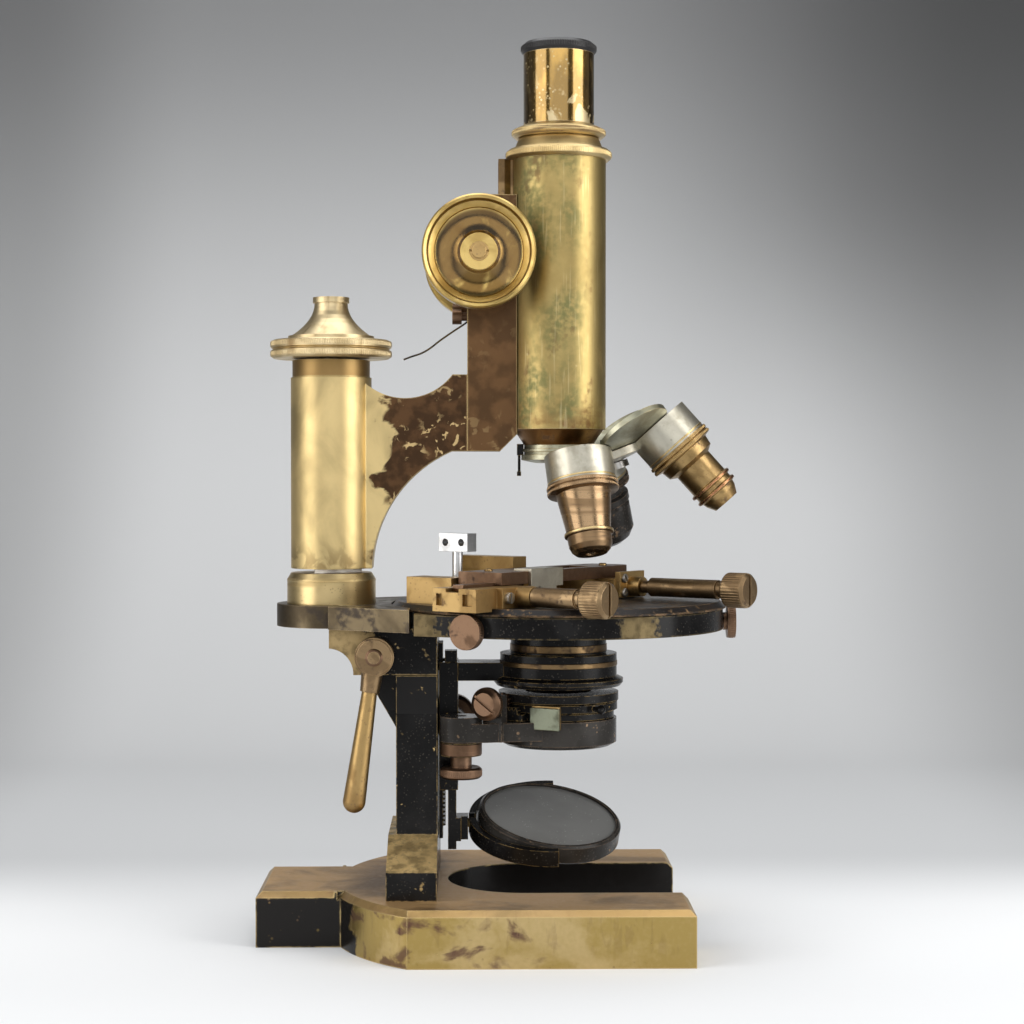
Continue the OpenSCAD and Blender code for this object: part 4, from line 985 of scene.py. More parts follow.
def strips(rows: int, count: int) -> list[Face]:
    """Joins closed rows of corners with four-sided faces.

    Args:
        rows: How many rows there are.
        count: How many corners a row has.

    Returns:
        The faces as corner numbers.
    """
    faces = []
    for row in range(rows - 1):
        here, there = row * count, (row + 1) * count
        for i in range(count):
            after = (i + 1) % count
            faces.append((here + i, here + after, there + after, there + i))
    return faces


class Bench:
    """Builds meshes from corners in millimetres and hangs them on the frame."""

    sharp_angle: float = 32.0
    ring_steps: int = 128
    disc_steps: int = 64

    @staticmethod
    def add(name: str, corners: Sequence[Sequence[float]], faces: Sequence[Face], place: Matrix,
            rider: Rider, smooth: bool = False) -> bpy.types.Object:
        """Makes one piece.

        Args:
            name: The piece's name.
            corners: Its corners in its own frame, in millimetres.
            faces: Its faces as corner numbers.
            place: Where its own frame lies, in millimetres.
            rider: Its finish and body.
            smooth: Whether its faces are shaded as one curved surface.

        Returns:
            The piece.
        """
        mesh = bpy.data.meshes.new(name)
        mesh.from_pydata([(place @ Vector(corner)) * MM for corner in corners], [], faces)
        mesh.validate()
        mesh.materials.append(rider.finish)
        if smooth:
            mesh.shade_smooth()
            mesh.set_sharp_from_angle(angle=math.radians(Bench.sharp_angle))
        made = bpy.data.objects.new(name, mesh)
        bpy.context.collection.objects.link(made)
        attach(made, rider.body)
        LOG.info("%s: %d faces, rides on %s", name, len(mesh.polygons), rider.body)
        return made

    @staticmethod
    def ring(name: str, place: Matrix, band: Band, rider: Rider) -> None:
        """Makes a plain ring.

        Args:
            name: The piece's name.
            place: Where its axis lies.
            band: Its size.
            rider: Its finish and body.
        """
        steps = Bench.ring_steps
        shoulder = band.outer - band.bevel
        rows = [(band.inner, band.low), (shoulder, band.low), (band.outer, band.low + band.bevel),
                (band.outer, band.high - band.bevel), (shoulder, band.high), (band.inner, band.high)]
        corners = [(r * x, r * y, h) for x, y in circle(steps) for r, h in rows]
        count = len(rows)
        faces = []
        for i in range(steps):
            here, there = i * count, (i + 1) % steps * count
            for j in range(count):
                after = (j + 1) % count
                faces.append((here + j, there + j, there + after, here + after))
        Bench.add(name, corners, faces, place, rider, smooth=True)

    @staticmethod
    def disc(name: str, rows: Sequence[Row], place: Matrix, rider: Rider) -> None:
        """Makes a closed round piece, such as a lens, whose section starts and ends on its axis.

        Args:
            name: The piece's name.
            rows: Pairs of radius and height from the top of the axis to its foot.
            place: Where its axis lies.
            rider: Its finish and body.
        """
        steps = Bench.disc_steps
        inner = rows[1:-1]
        corners = [(0.0, 0.0, rows[0][1]), (0.0, 0.0, rows[-1][1])]
        corners += [(r * x, r * y, h) for x, y in circle(steps) for r, h in inner]
        count = len(inner)
        faces: list[Face] = []
        for i in range(steps):
            here = 2 + i * count
            there = 2 + (i + 1) % steps * count
            faces.append((0, here, there))
            faces += [(here + j, here + j + 1, there + j + 1, there + j) for j in range(count - 1)]
            faces.append((1, there + count - 1, here + count - 1))
        Bench.add(name, corners, faces, place, rider, smooth=True)

    @staticmethod
    def milled(name: str, place: Matrix, band: Milling, rider: Rider) -> None:
        """Makes a band of straight milling round an edge.

        Args:
            name: The piece's name.
            place: Where its axis lies.
            band: Its size and its ridges.
            rider: Its finish and body.
        """
        root = band.radius - band.depth
        under = root - band.wall
        around = [(math.tau * (i + part) / band.teeth, level)
                  for i in range(band.teeth) for part, level in RIDGE]
        levels = [(band.low, 0.0, under), (band.low, 0.0, root), (band.low + band.slant, 1.0, root),
                  (band.high - band.slant, 1.0, root), (band.high, 0.0, root), (band.high, 0.0, under)]
        corners = []
        for height, share, base in levels:
            for angle, level in around:
                reach = base + band.depth * level * share
                corners.append((reach * math.cos(angle), reach * math.sin(angle), height))
        count = len(around)
        faces = strips(len(levels), count)
        last = (len(levels) - 1) * count
        faces += [(last + i, last + (i + 1) % count, (i + 1) % count, i) for i in range(count)]
        Bench.add(name, corners, faces, place, rider)

    @staticmethod
    def screw(name: str, place: Matrix, radius: float, rider: Rider) -> None:
        """Adds a small slotted screw head.

        Args:
            name: The screw's name.
            place: Its seat, with +Z out of the surface.
            radius: The head's radius.
            rider: What it rides on.
        """
        height = radius * 0.55
        deep = height * 0.45
        half = radius * 0.16
        top = radius * 0.8
        sunk = -0.6
        steps = 24
        corners: list[Point] = []
        for level, reach in ((sunk, radius), (height * 0.55, radius), (height, top)):
            corners += [(reach * x, reach * y, level) for x, y in circle(steps)]
        faces = strips(3, steps)
        width = math.sqrt(top * top - half * half)
        for side in (-1.0, 1.0):
            rim = [2 * steps + i for i, (_, y) in enumerate(circle(steps)) if side * y > half / top]
            start = len(corners)
            corners += [(end * width, side * half, level)
                        for level in (height, height - deep) for end in (side, -side)]
            order = sorted(rim, key=lambda n: math.atan2(side * corners[n][1], side * corners[n][0]))
            faces.append((start, *order, start + 1))
            faces.append((start + 2, start, start + 1, start + 3))
        first = len(corners) - 8
        faces.append((first + 2, first + 3, first + 6, first + 7))
        Bench.add(name, corners, faces, place, rider)

    @staticmethod
    def wire(name: str, points: Sequence[Point], radius: float, rider: Rider) -> None:
        """Makes a stiff bent wire.

        Args:
            name: The piece's name.
            points: Where it runs, in millimetres.
            radius: Its radius.
            rider: Its finish and body.
        """
        samples = 6
        sides = 10
        knots = [Vector(p) for p in points]
        path = []
        for i in range(len(knots) - 1):
            before, here = knots[max(i - 1, 0)], knots[i]
            there, after = knots[i + 1], knots[min(i + 2, len(knots) - 1)]
            for step in range(samples):
                t = step / samples
                path.append(0.5 * (2.0 * here + (there - before) * t
                                   + (2.0 * before - 5.0 * here + 4.0 * there - after) * t * t
                                   + (3.0 * here - before - 3.0 * there + after) * t * t * t))
        path.append(knots[-1])
        corners: list[Vector] = []
        for i, point in enumerate(path):
            along = (path[min(i + 1, len(path) - 1)] - path[max(i - 1, 0)]).normalized()
            side = along.cross(Vector((0.0, 1.0, 0.0))).normalized()
            up = side.cross(along)
            for k in range(sides):
                angle = math.tau * k / sides
                corners.append(point + (side * math.cos(angle) + up * math.sin(angle)) * radius)
        faces = strips(len(path), sides)
        faces.append(tuple(reversed(range(sides))))
        faces.append(tuple((len(path) - 1) * sides + k for k in range(sides)))
        Bench.add(name, corners, faces, Matrix.Identity(4), rider, smooth=True)


def at(x: float, y: float, z: float) -> Matrix:
    """Gives a frame that is moved and not turned."""
    return Matrix.Translation((x, y, z))


def turn(degrees: float, axis: Axis) -> Matrix:
    """Gives a frame that is turned about one axis."""
    return Matrix.Rotation(math.radians(degrees), 4, axis.value)


def dress(finish: bpy.types.Material, *nodes: str) -> None:
    """Gives CAD pieces their finish.

    Args:
        finish: The material.
        nodes: The pieces' names.
    """
    for name in nodes:
        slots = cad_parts[name].material_slots
        for slot in slots:
            slot.material = finish
        LOG.info("%s wears %s on %d slot(s)", name, finish.name, len(slots))


class Palette:
    """Every finish of the stand, built once."""

    def __init__(self) -> None:
        """Builds the finishes."""
        turned = (8.0, 8.0, 0.5)
        self.foot = FootFinish("foot_brass").build()
        self.pillar = BlackLacquer(
            "pillar_lacquer", metal=(0.74, 0.53, 0.24), reach=0.6, rubbed=0.7, bare_slopes=True,
            plain_above=82.0, chips=0.1).build()
        self.hinge = BlackLacquer(
            "hinge_lacquer", metal=(0.40, 0.29, 0.14), bare_before_x=-15.0).build()
        self.bracket = AgedBrass(
            "bracket_brass", bright=(0.13, 0.10, 0.06), dull=(0.062, 0.047, 0.03),
            stain=(0.045, 0.032, 0.022), dull_share=0.7, stain_share=0.3, patch=10.0, rough=0.34,
            edge_gain=2.6).build()
        self.stage = BlackLacquer(
            "stage_lacquer", bare_before_x=9.0, metal=(0.16, 0.12, 0.06),
            rubbed_spot=(76.0, -54.0, 114.2), reach=1.1).build()
        self.disc = BlackLacquer(
            "disc_lacquer", black=(0.012, 0.0102, 0.0095), chips=0.42, rough=0.3,
            metal=(0.30, 0.19, 0.10)).build()
        self.black = BlackLacquer("black_lacquer", chips=0.08, rubbed=0.55, reach=0.5).build()
        self.dark = BlackLacquer(
            "grey_black_metal", black=(0.021, 0.019, 0.017), chips=0.2, rubbed=0.6, reach=0.6,
            metal=(0.28, 0.19, 0.12)).build()
        self.arm = ArmPatina("arm_brass").build()
        self.tube = TubeBrass("tube_brass").build()
        self.pale = AgedBrass(
            "pale_brass", bright=(0.62, 0.475, 0.235), dull=(0.40, 0.285, 0.125),
            stain=(0.16, 0.09, 0.035), dull_share=0.45, stain_share=0.14, patch=7.0, rough=0.32,
            edge_gain=1.2, lie=turned).build()
        self.orange = AgedBrass(
            "orange_brass", bright=(0.34, 0.19, 0.075), dull=(0.19, 0.10, 0.04),
            stain=(0.07, 0.032, 0.015), dull_share=0.5, stain_share=0.2, patch=7.0, rough=0.3).build()
        self.satin = AgedBrass(
            "satin_brass", bright=(0.42, 0.28, 0.115), dull=(0.27, 0.168, 0.066),
            stain=(0.12, 0.065, 0.03), dull_share=0.5, stain_share=0.12, patch=9.0, rough=0.38).build()
        self.guide = AgedBrass(
            "guide_brass", bright=(0.22, 0.145, 0.07), dull=(0.10, 0.062, 0.03),
            stain=(0.045, 0.025, 0.014), dull_share=0.6, stain_share=0.25, patch=8.0,
            rough=0.34).build()
        self.copper = AgedBrass(
            "copper_brass", bright=(0.17, 0.103, 0.064), dull=(0.10, 0.058, 0.035),
            stain=(0.05, 0.026, 0.016), dull_share=0.5, stain_share=0.14, patch=6.0, rough=0.36,
            edge_gain=1.7).build()
        self.knob = AgedBrass(
            "knob_brass", bright=(0.30, 0.205, 0.11), dull=(0.17, 0.112, 0.06),
            stain=(0.065, 0.038, 0.02), dull_share=0.5, stain_share=0.16, patch=5.0, rough=0.34,
            edge_gain=1.5).build()
        # The dish's dark stain over most of its hollow is partly real stain and partly painted dark
        # reflection
        self.dish = SpunBrass(
            "dish_brass", centre=COARSE_AXIS, axis=Axis.Y, bright=(0.56, 0.40, 0.135),
            dull=(0.36, 0.235, 0.065), stain=(0.105, 0.052, 0.015), stain_share=0.84, rough=0.15,
            coat=0.3, streaks=2.2, stained=(6.6, 15.8)).build()
        self.head = SpunBrass(
            "head_brass", centre=(SLEEVE_X, 0.0, 0.0), axis=Axis.Z, bright=(0.62, 0.50, 0.295),
            dull=(0.45, 0.345, 0.185), stain=(0.20, 0.12, 0.05), stain_share=0.2, rough=0.38,
            streaks=4.0).build()
        self.eyepiece = LacqueredBrass("eyepiece_lacquer").build()
        self.drum = PlatedMetal(
            "nickel_plate", pale=(0.50, 0.475, 0.395), dark=(0.29, 0.265, 0.205), rough=0.36).build()
        self.cap = PlatedMetal(
            "cap_plate", pale=(0.43, 0.42, 0.31), dark=(0.25, 0.225, 0.145), rough=0.34).build()
        self.steel = PlatedMetal(
            "screw_steel", pale=(0.46, 0.45, 0.43), dark=(0.22, 0.21, 0.20), rough=0.3,
            worn=0.3).build()
        self.aluminium = PlatedMetal(
            "aluminium", pale=(0.72, 0.73, 0.74), dark=(0.5, 0.51, 0.52), rough=0.3,
            under=(0.6, 0.6, 0.6)).build()
        self.near_brass = AgedBrass(
            "objective_brass", bright=(0.32, 0.215, 0.12), dull=(0.18, 0.115, 0.06),
            stain=(0.08, 0.045, 0.025), dull_share=0.55, stain_share=0.15, patch=5.0, rough=0.26,
            lie=turned).build()
        self.golden = AgedBrass(
            "objective_gold", bright=(0.36, 0.24, 0.10), dull=(0.21, 0.135, 0.055),
            stain=(0.10, 0.05, 0.022), dull_share=0.45, stain_share=0.2, patch=5.0, rough=0.32,
            coat=0.1).build()
        self.reddish = AgedBrass(
            "objective_red_brass", bright=(0.42, 0.20, 0.10), dull=(0.24, 0.10, 0.05),
            stain=(0.08, 0.03, 0.02), dull_share=0.5, stain_share=0.2, patch=4.0, rough=0.24).build()
        self.ebonite = Ebonite("ebonite").build()
        self.cover = PlatedMetal(
            "cover_plate", pale=(0.19, 0.205, 0.15), dark=(0.055, 0.055, 0.035), rough=0.4).build()
        self.glass = ClearGlass("lens_glass").build()
        self.mirror = OldMirror("mirror_glass").build()


@dataclass
class Base:
    """The horseshoe foot, the pillar and the inclination joint's pin."""

    looks: Palette

    def build(self) -> None:
        """Dresses the CAD pieces."""
        dress(self.looks.foot, "foot")
        dress(self.looks.pillar, "pillar")
        dress(self.looks.steel, "pillar_bolts")
        dress(self.looks.knob, "hinge_pin")


@dataclass
class Limb:
    """The inclining limb with the fixed stage plate and the prism post."""

    looks: Palette
    seam: Band = Band(inner=14.08, outer=16.08, low=128.0, high=128.8)

    def build(self) -> None:
        """Dresses the CAD pieces and adds the collar's bright seam."""
        dress(self.looks.hinge, "hinge_block")
        dress(self.looks.bracket, "limb_bracket")
        dress(self.looks.stage, "stage_plate")
        dress(self.looks.pale, "pillar_collar")
        dress(self.looks.steel, "stage_screws", "prism_post", "focus_spring")
        dress(self.looks.black, "substage_rack")
        gold = Rider("limb", self.looks.pale, "pale_brass")
        Bench.ring("collar_seam", at(SLEEVE_X, 0.0, 0.0), self.seam, gold)


@dataclass
class InclinationClamp:
    """The clamp's boss and handle."""

    looks: Palette
    cap_radius: float = 3.1
    cap_height: float = 0.75
    cap_sunk: float = -0.9
    near_face: float = -28.3

    def build(self) -> None:
        """Dresses the CAD pieces and adds the copper cap at the boss's centre."""
        dress(self.looks.knob, "clamp_boss")
        dress(self.looks.satin, "clamp_handle")
        copper = Rider("clamp", self.looks.copper, "copper_brass")
        place = at(PIVOT[0], self.near_face, PIVOT[2]) @ turn(90.0, Axis.X)
        radius = self.cap_radius
        rows = [(0.0, self.cap_height), (radius * 0.6, 0.62), (radius * 0.92, 0.25), (radius, 0.0),
                (radius, self.cap_sunk), (0.0, self.cap_sunk)]
        Bench.disc("clamp_cap", rows, place, copper)


@dataclass
class FineFocus:
    """The fine focus head with its two milled beads."""

    looks: Palette
    lower: Milling = Milling(radius=21.95, low=208.9, high=211.1, teeth=156, depth=0.3, slant=0.5)
    upper: Milling = Milling(radius=21.95, low=212.4, high=214.6, teeth=156, depth=0.3, slant=0.5)

    def build(self) -> None:
        """Dresses the CAD pieces and mills the beads."""
        dress(self.looks.head, "fine_head")
        dress(self.looks.steel, "fine_screw")
        rider = Rider("fine_focus", self.looks.head, "satin_brass")
        for name, bead in (("lower", self.lower), ("upper", self.upper)):
            Bench.milled(f"fine_head_bead_{name}", at(SLEEVE_X, 0.0, 0.0), bead, rider)


@dataclass
class FocusArm:
    """The arm with its sleeve, the pinion box, the tension screws and a loose bent wire."""

    looks: Palette
    wire_radius: float = 0.34
    wire_path: tuple[Point, ...] = (
        (19.4, -6.4, 222.6), (17.0, -7.4, 220.6), (12.5, -7.6, 217.6), (8.2, -7.7, 214.6),
        (4.6, -7.8, 211.8), (1.5, -7.9, 210.0), (-2.0, -8.0, 208.8), (-4.9, -8.0, 207.7))

    def build(self) -> None:
        """Dresses the CAD pieces and bends the wire."""
        dress(self.looks.arm, "arm")
        dress(self.looks.guide, "pinion_box")
        dress(self.looks.copper, "guide_screws")
        Bench.wire("bent_wire", self.wire_path, self.wire_radius, Rider("arm", self.looks.black, "steel"))


@dataclass
class BodyTube:
    """The body tube, draw tube and eyepiece."""

    looks: Palette
    collar: Milling = Milling(radius=19.25, low=280.7, high=283.0, teeth=170, depth=0.35, slant=0.45)
    flange: Milling = Milling(radius=17.05, low=288.9, high=290.8, teeth=150, depth=0.32, slant=0.4)
    cap: Milling = Milling(radius=13.75, low=319.3, high=321.3, teeth=96, depth=0.32, slant=0.35)

    def build(self) -> None:
        """Dresses the CAD pieces and mills the three bands."""
        looks = self.looks
        dress(looks.tube, "body_tube")
        dress(looks.guide, "tube_slide")
        dress(looks.pale, "tube_collar", "draw_tube")
        dress(looks.orange, "nose_cone")
        dress(looks.eyepiece, "eyepiece")
        dress(looks.ebonite, "eyepiece_cap")
        dress(looks.glass, "eyepiece_lenses")
        place = at(OPTIC_X, 0.0, 0.0)
        Bench.milled("collar_milling", place, self.collar, Rider("tube", looks.pale, "pale_brass"))
        Bench.milled("flange_milling", place, self.flange, Rider("draw", looks.pale, "pale_brass"))
        Bench.milled("cap_milling", place, self.cap, Rider("ocular", looks.ebonite, "ebonite"))


@dataclass
class CoarseFocus:
    """The coarse focus pinion and its two dished knobs."""

    looks: Palette
    near: Milling = Milling(radius=20.12, low=-26.6, high=-20.9, teeth=150, depth=0.3, slant=0.4)
    far: Milling = Milling(radius=20.12, low=20.9, high=26.6, teeth=150, depth=0.3, slant=0.4)

    def build(self) -> None:
        """Dresses the CAD pieces and mills the rims."""
        dress(self.looks.dish, "coarse_knobs")
        dress(self.looks.satin, "coarse_pinion")
        rider = Rider("coarse_focus", self.looks.dish, "satin_brass")
        place = at(*COARSE_AXIS) @ turn(-90.0, Axis.X)
        for name, rim in (("near", self.near), ("far", self.far)):
            Bench.milled(f"coarse_rim_{name}", place, rim, rider)


class Place(Enum):
    """Where the revolver holds each objective, in degrees round its axis."""

    NEAR = -130.0
    SLIM = -10.0
    WIDE = 110.0

    def frame(self) -> Matrix:
        """Gives the objective's frame, whose -Z points along it."""
        lean = turn(-NOSE_ANGLE, Axis.Y)
        return at(*APEX) @ lean @ turn(self.value, Axis.Z) @ lean


@dataclass
class Nosepiece:
    """The revolver and its three objectives."""

    looks: Palette
    upper: Milling = Milling(radius=12.85, low=-65.75, high=-64.62, teeth=120, depth=0.28, slant=0.3)
    lower: Milling = Milling(radius=12.85, low=-67.45, high=-66.35, teeth=120, depth=0.28, slant=0.3)
    seam: Band = Band(inner=11.0, outer=12.34, low=-63.9, high=-63.1, bevel=0.2)
    slim_rings: tuple[Band, ...] = (Band(inner=6.8, outer=8.5, low=-83.0, high=-82.0),
                                    Band(inner=6.8, outer=8.3, low=-86.0, high=-85.0))
    near_ring: Band = Band(inner=7.4, outer=8.82, low=-83.2, high=-82.0, bevel=0.3)
    lens_radius: float = 2.2
    near_tip: float = 90.0
    long_tip: float = 91.0

    def objective(self, name: str, place: Place, tip: float, finish: bpy.types.Material) -> None:
        """Adds an objective's milled collar and front lens.

        Args:
            name: The objective's name.
            place: Where it sits.
            tip: How far its tip is from the apex.
            finish: The collar's finish.
        """
        rider = Rider("revolver", finish, "copper_brass")
        for part, collar in (("upper", self.upper), ("lower", self.lower)):
            Bench.milled(f"{name}_collar_{part}", place.frame(), collar, rider)
        r = self.lens_radius
        dome = [(0.0, 0.15 - tip), (r * 0.6, 0.3 - tip), (r, 0.75 - tip), (r, 2.4 - tip), (0.0, 2.4 - tip)]
        glass = Rider("revolver", self.looks.glass, "glass")
        Bench.disc(f"{name}_front_lens", dome, place.frame(), glass)

    def build(self) -> None:
        """Dresses the CAD pieces and adds the collars, rings and lenses."""
        looks = self.looks
        dress(looks.cap, "nosepiece_cap")
        dress(looks.black, "click_spring")
        dress(looks.drum, "nosepiece_shell")
        dress(looks.steel, "nosepiece_screw")
        dress(looks.near_brass, "objective_near")
        dress(looks.golden, "objective_slim")
        dress(looks.dark, "objective_wide")
        self.objective("near_objective", Place.NEAR, self.near_tip, looks.near_brass)
        self.objective("slim_objective", Place.SLIM, self.long_tip, looks.golden)
        self.objective("wide_objective", Place.WIDE, self.long_tip, looks.dark)
        bright = Rider("revolver", looks.pale, "pale_brass")
        for place in Place:
            Bench.ring(f"drum_seam_{place.name.lower()}", place.frame(), self.seam, bright)
        red = Rider("revolver", looks.reddish, "copper_brass")
        for number, band in enumerate(self.slim_rings):
            Bench.ring(f"slim_objective_ring_{number}", Place.SLIM.frame(), band, red)
        Bench.ring("near_objective_ring", Place.NEAR.frame(), self.near_ring, bright)


STAGE = at(OPTIC_X, 0.0, 0.0) @ turn(CROSS_TURN, Axis.Z)


@dataclass(frozen=True)
class StageKnob:
    """A milled knob of the mechanical stage, by where its axle lies and where its milling starts."""

    name: str
    body: str
    start: float
    across: float
    height: float
    length: float = 7.9
    radius: float = 6.25

    def build(self, finish: bpy.types.Material) -> None:
        """Mills the knob.

        Args:
            finish: The knob's finish.
        """
        place = STAGE @ at(0.0, self.across, self.height) @ turn(90.0, Axis.Y)
        end = self.start + self.length
        milling = Milling(self.radius, low=self.start, high=end, teeth=38, depth=0.34, slant=0.5)
        Bench.milled(self.name, place, milling, Rider(self.body, finish, "copper_brass"))


@dataclass(frozen=True)
class SlottedScrew:
    """A small screw head on the mechanical stage."""

    name: str
    seat: Point
    radius: float
    slot_turn: float


@dataclass
class MechanicalStage:
    """The rotating disc, its centring screws and the mechanical stage on it."""

    looks: Palette
    knobs: tuple[StageKnob, ...] = (
        StageKnob("near_knob_milling", "plate_drive", start=44.8, across=-45.7, height=124.9),
        StageKnob("far_knob_milling", "finger_drive", start=58.2, across=22.4, height=125.5))
    centring: Milling = Milling(radius=6.12, low=61.5, high=63.7, teeth=44, depth=0.26, slant=0.3)
    centring_height: float = 113.3
    centring_near: float = -122.0
    centring_front: float = -2.0
    end_screws: tuple[SlottedScrew, ...] = (
        SlottedScrew("end_plate_screw_0", (17.2, 17.3, 128.6), radius=1.7, slot_turn=35.0),
        SlottedScrew("end_plate_screw_1", (17.2, 17.3, 123.4), radius=1.7, slot_turn=115.0))
    top_screws: tuple[SlottedScrew, ...] = (
        SlottedScrew("object_plate_screw_0", (-2.5, -38.5, 132.8), radius=1.5, slot_turn=20.0),
        SlottedScrew("object_plate_screw_1", (3.0, 24.0, 132.8), radius=1.5, slot_turn=90.0))

    def build(self) -> None:
        """Dresses the CAD pieces, mills the knobs and adds the screws."""
        looks = self.looks
        dress(looks.disc, "stage_disc")
        dress(looks.satin, "stage_bed", "finger_slide", "plate_carriage")
        dress(looks.steel, "bed_screws")
        dress(looks.copper, "centring_near", "centring_front", "object_plate")
        dress(looks.drum, "plate_bracket")
        dress(looks.knob, "plate_pinion", "finger_screw")
        dress(looks.aluminium, "finger_post")
        for knob in self.knobs:
            knob.build(looks.knob)
        for name, angle in (("near", self.centring_near), ("front", self.centring_front)):
            place = at(OPTIC_X, 0.0, self.centring_height) @ turn(angle, Axis.Z) @ turn(90.0, Axis.Y)
            rider = Rider(f"centring_screw_{name}", looks.copper, "copper_brass")
            Bench.milled(f"centring_milling_{name}", place, self.centring, rider)
        steel = Rider("plate", looks.steel, "steel")
        for screw in self.end_screws:
            place = STAGE @ at(*screw.seat) @ turn(90.0, Axis.Y) @ turn(screw.slot_turn, Axis.Z)
            Bench.screw(screw.name, place, screw.radius, steel)
        gold = Rider("plate", looks.golden, "satin_brass")
        for screw in self.top_screws:
            place = STAGE @ at(*screw.seat) @ turn(screw.slot_turn, Axis.Z)
            Bench.screw(screw.name, place, screw.radius, gold)


@dataclass(frozen=True)
class Block:
    """A small bevelled block, from its lowest to its highest corner."""

    name: str
    low: Point
    high: Point


@dataclass
class Substage:
    """The substage carriage with the condenser and the swing-out iris."""

    looks: Palette
    upper_band: Band = Band(inner=15.0, outer=17.62, low=102.6, high=105.4)
    lower_band: Band = Band(inner=19.0, outer=21.4, low=97.4, high=99.4)
    lens: tuple[Row, ...] = ((0.0, 109.6), (5.0, 109.25), (9.6, 108.0), (13.0, 105.9), (13.0, 104.2),
                             (0.0, 104.2))
    ear: Point = (15.7, -18.2, 0.0)
    ear_sleeve: Band = Band(inner=6.0, outer=7.42, low=67.15, high=71.45, bevel=0.3)
    swing_screw: Milling = Milling(radius=7.5, low=59.6, high=62.1, teeth=64, depth=0.26, slant=0.35)
    iris_turn: float = -30.0
    iris_axle: Point = (-10.2, 0.0, 85.8)
    iris_knob: Milling = Milling(radius=5.92, low=33.5, high=35.6, teeth=44, depth=0.24, slant=0.3)
    rack_axle: Point = (12.6, 0.0, 76.0)
    rack_knob: Milling = Milling(radius=8.12, low=22.6, high=26.9, teeth=60, depth=0.28, slant=0.35)
    cover_plate: Block = Block("iris_cover_plate", low=(0.3, -22.65, 76.1), high=(12.0, -21.75, 84.0))
    cover_block: Block = Block("iris_cover_block", low=(0.5, -21.75, 76.3), high=(11.6, -19.9, 84.7))
    cover_bevel: float = 0.3

    def build(self) -> None:
        """Dresses the CAD pieces and adds bands, milling, lens and cover plate."""
        looks = self.looks
        dress(looks.black, "substage_carriage", "condenser", "iris_housing", "iris_lever")
        dress(looks.dark, "iris_carrier")
        dress(looks.copper, "iris_pinion", "swing_screw", "substage_pinion")
        optic = at(OPTIC_X, 0.0, 0.0)
        band = Rider("substage", looks.guide, "satin_brass")
        Bench.ring("condenser_upper_band", optic, self.upper_band, band)
        Bench.ring("condenser_lower_band", optic, self.lower_band, band)
        Bench.disc("condenser_lens", self.lens, optic, Rider("substage", looks.glass, "glass"))
        ear = at(*self.ear)
        Bench.ring("ear_sleeve", ear, self.ear_sleeve, Rider("substage", looks.copper, "copper_brass"))
        iris = optic @ turn(self.iris_turn, Axis.Z)
        iris_axle = iris @ at(*self.iris_axle) @ turn(90.0, Axis.X)
        rack_axle = at(*self.rack_axle) @ turn(-90.0, Axis.X)
        knobs = (("swing_screw_milling", ear, self.swing_screw, "swing_clamp"),
                 ("iris_knob_milling", iris_axle, self.iris_knob, "iris_drive"),
                 ("substage_knob_milling", rack_axle, self.rack_knob, "substage_drive"))
        for name, place, milling, body in knobs:
            Bench.milled(name, place, milling, Rider(body, looks.copper, "copper_brass"))
        self.cover(self.cover_plate, iris, Rider("iris_tray", looks.cover, "nickel"))
        self.cover(self.cover_block, iris, Rider("iris_tray", looks.golden, "satin_brass"))

    def cover(self, block: Block, place: Matrix, rider: Rider) -> None:
        """Adds one of the two blocks that cover the iris pinion.

        Args:
            block: Its name and size.
            place: The frame that the iris pinion's shaft lies along.
            rider: Its finish and body.
        """
        sides = zip(block.low, block.high)
        corners = list(product(*sides))
        faces = [(0, 1, 3, 2), (4, 6, 7, 5), (0, 4, 5, 1), (2, 3, 7, 6), (0, 2, 6, 4), (1, 5, 7, 3)]
        made = Bench.add(block.name, corners, faces, place, rider)
        edge = made.modifiers.new("edges", "BEVEL")
        edge.width = self.cover_bevel * MM
        edge.segments = 2


@dataclass
class Mirror:
    """The mirror in its fork, with the bar that carries it."""

    looks: Palette

    def build(self) -> None:
        """Dresses the CAD pieces."""
        dress(self.looks.black, "mirror_fork", "mirror_bar")
        dress(self.looks.dark, "mirror_frame")
        dress(self.looks.mirror, "mirror_glass")


@dataclass(frozen=True)
class Lamp:
    """A large soft lamp: its place, its width and height, its power in watts and its tint."""

    name: str
    place: Point
    size: Row
    power: float
    tint: Colour


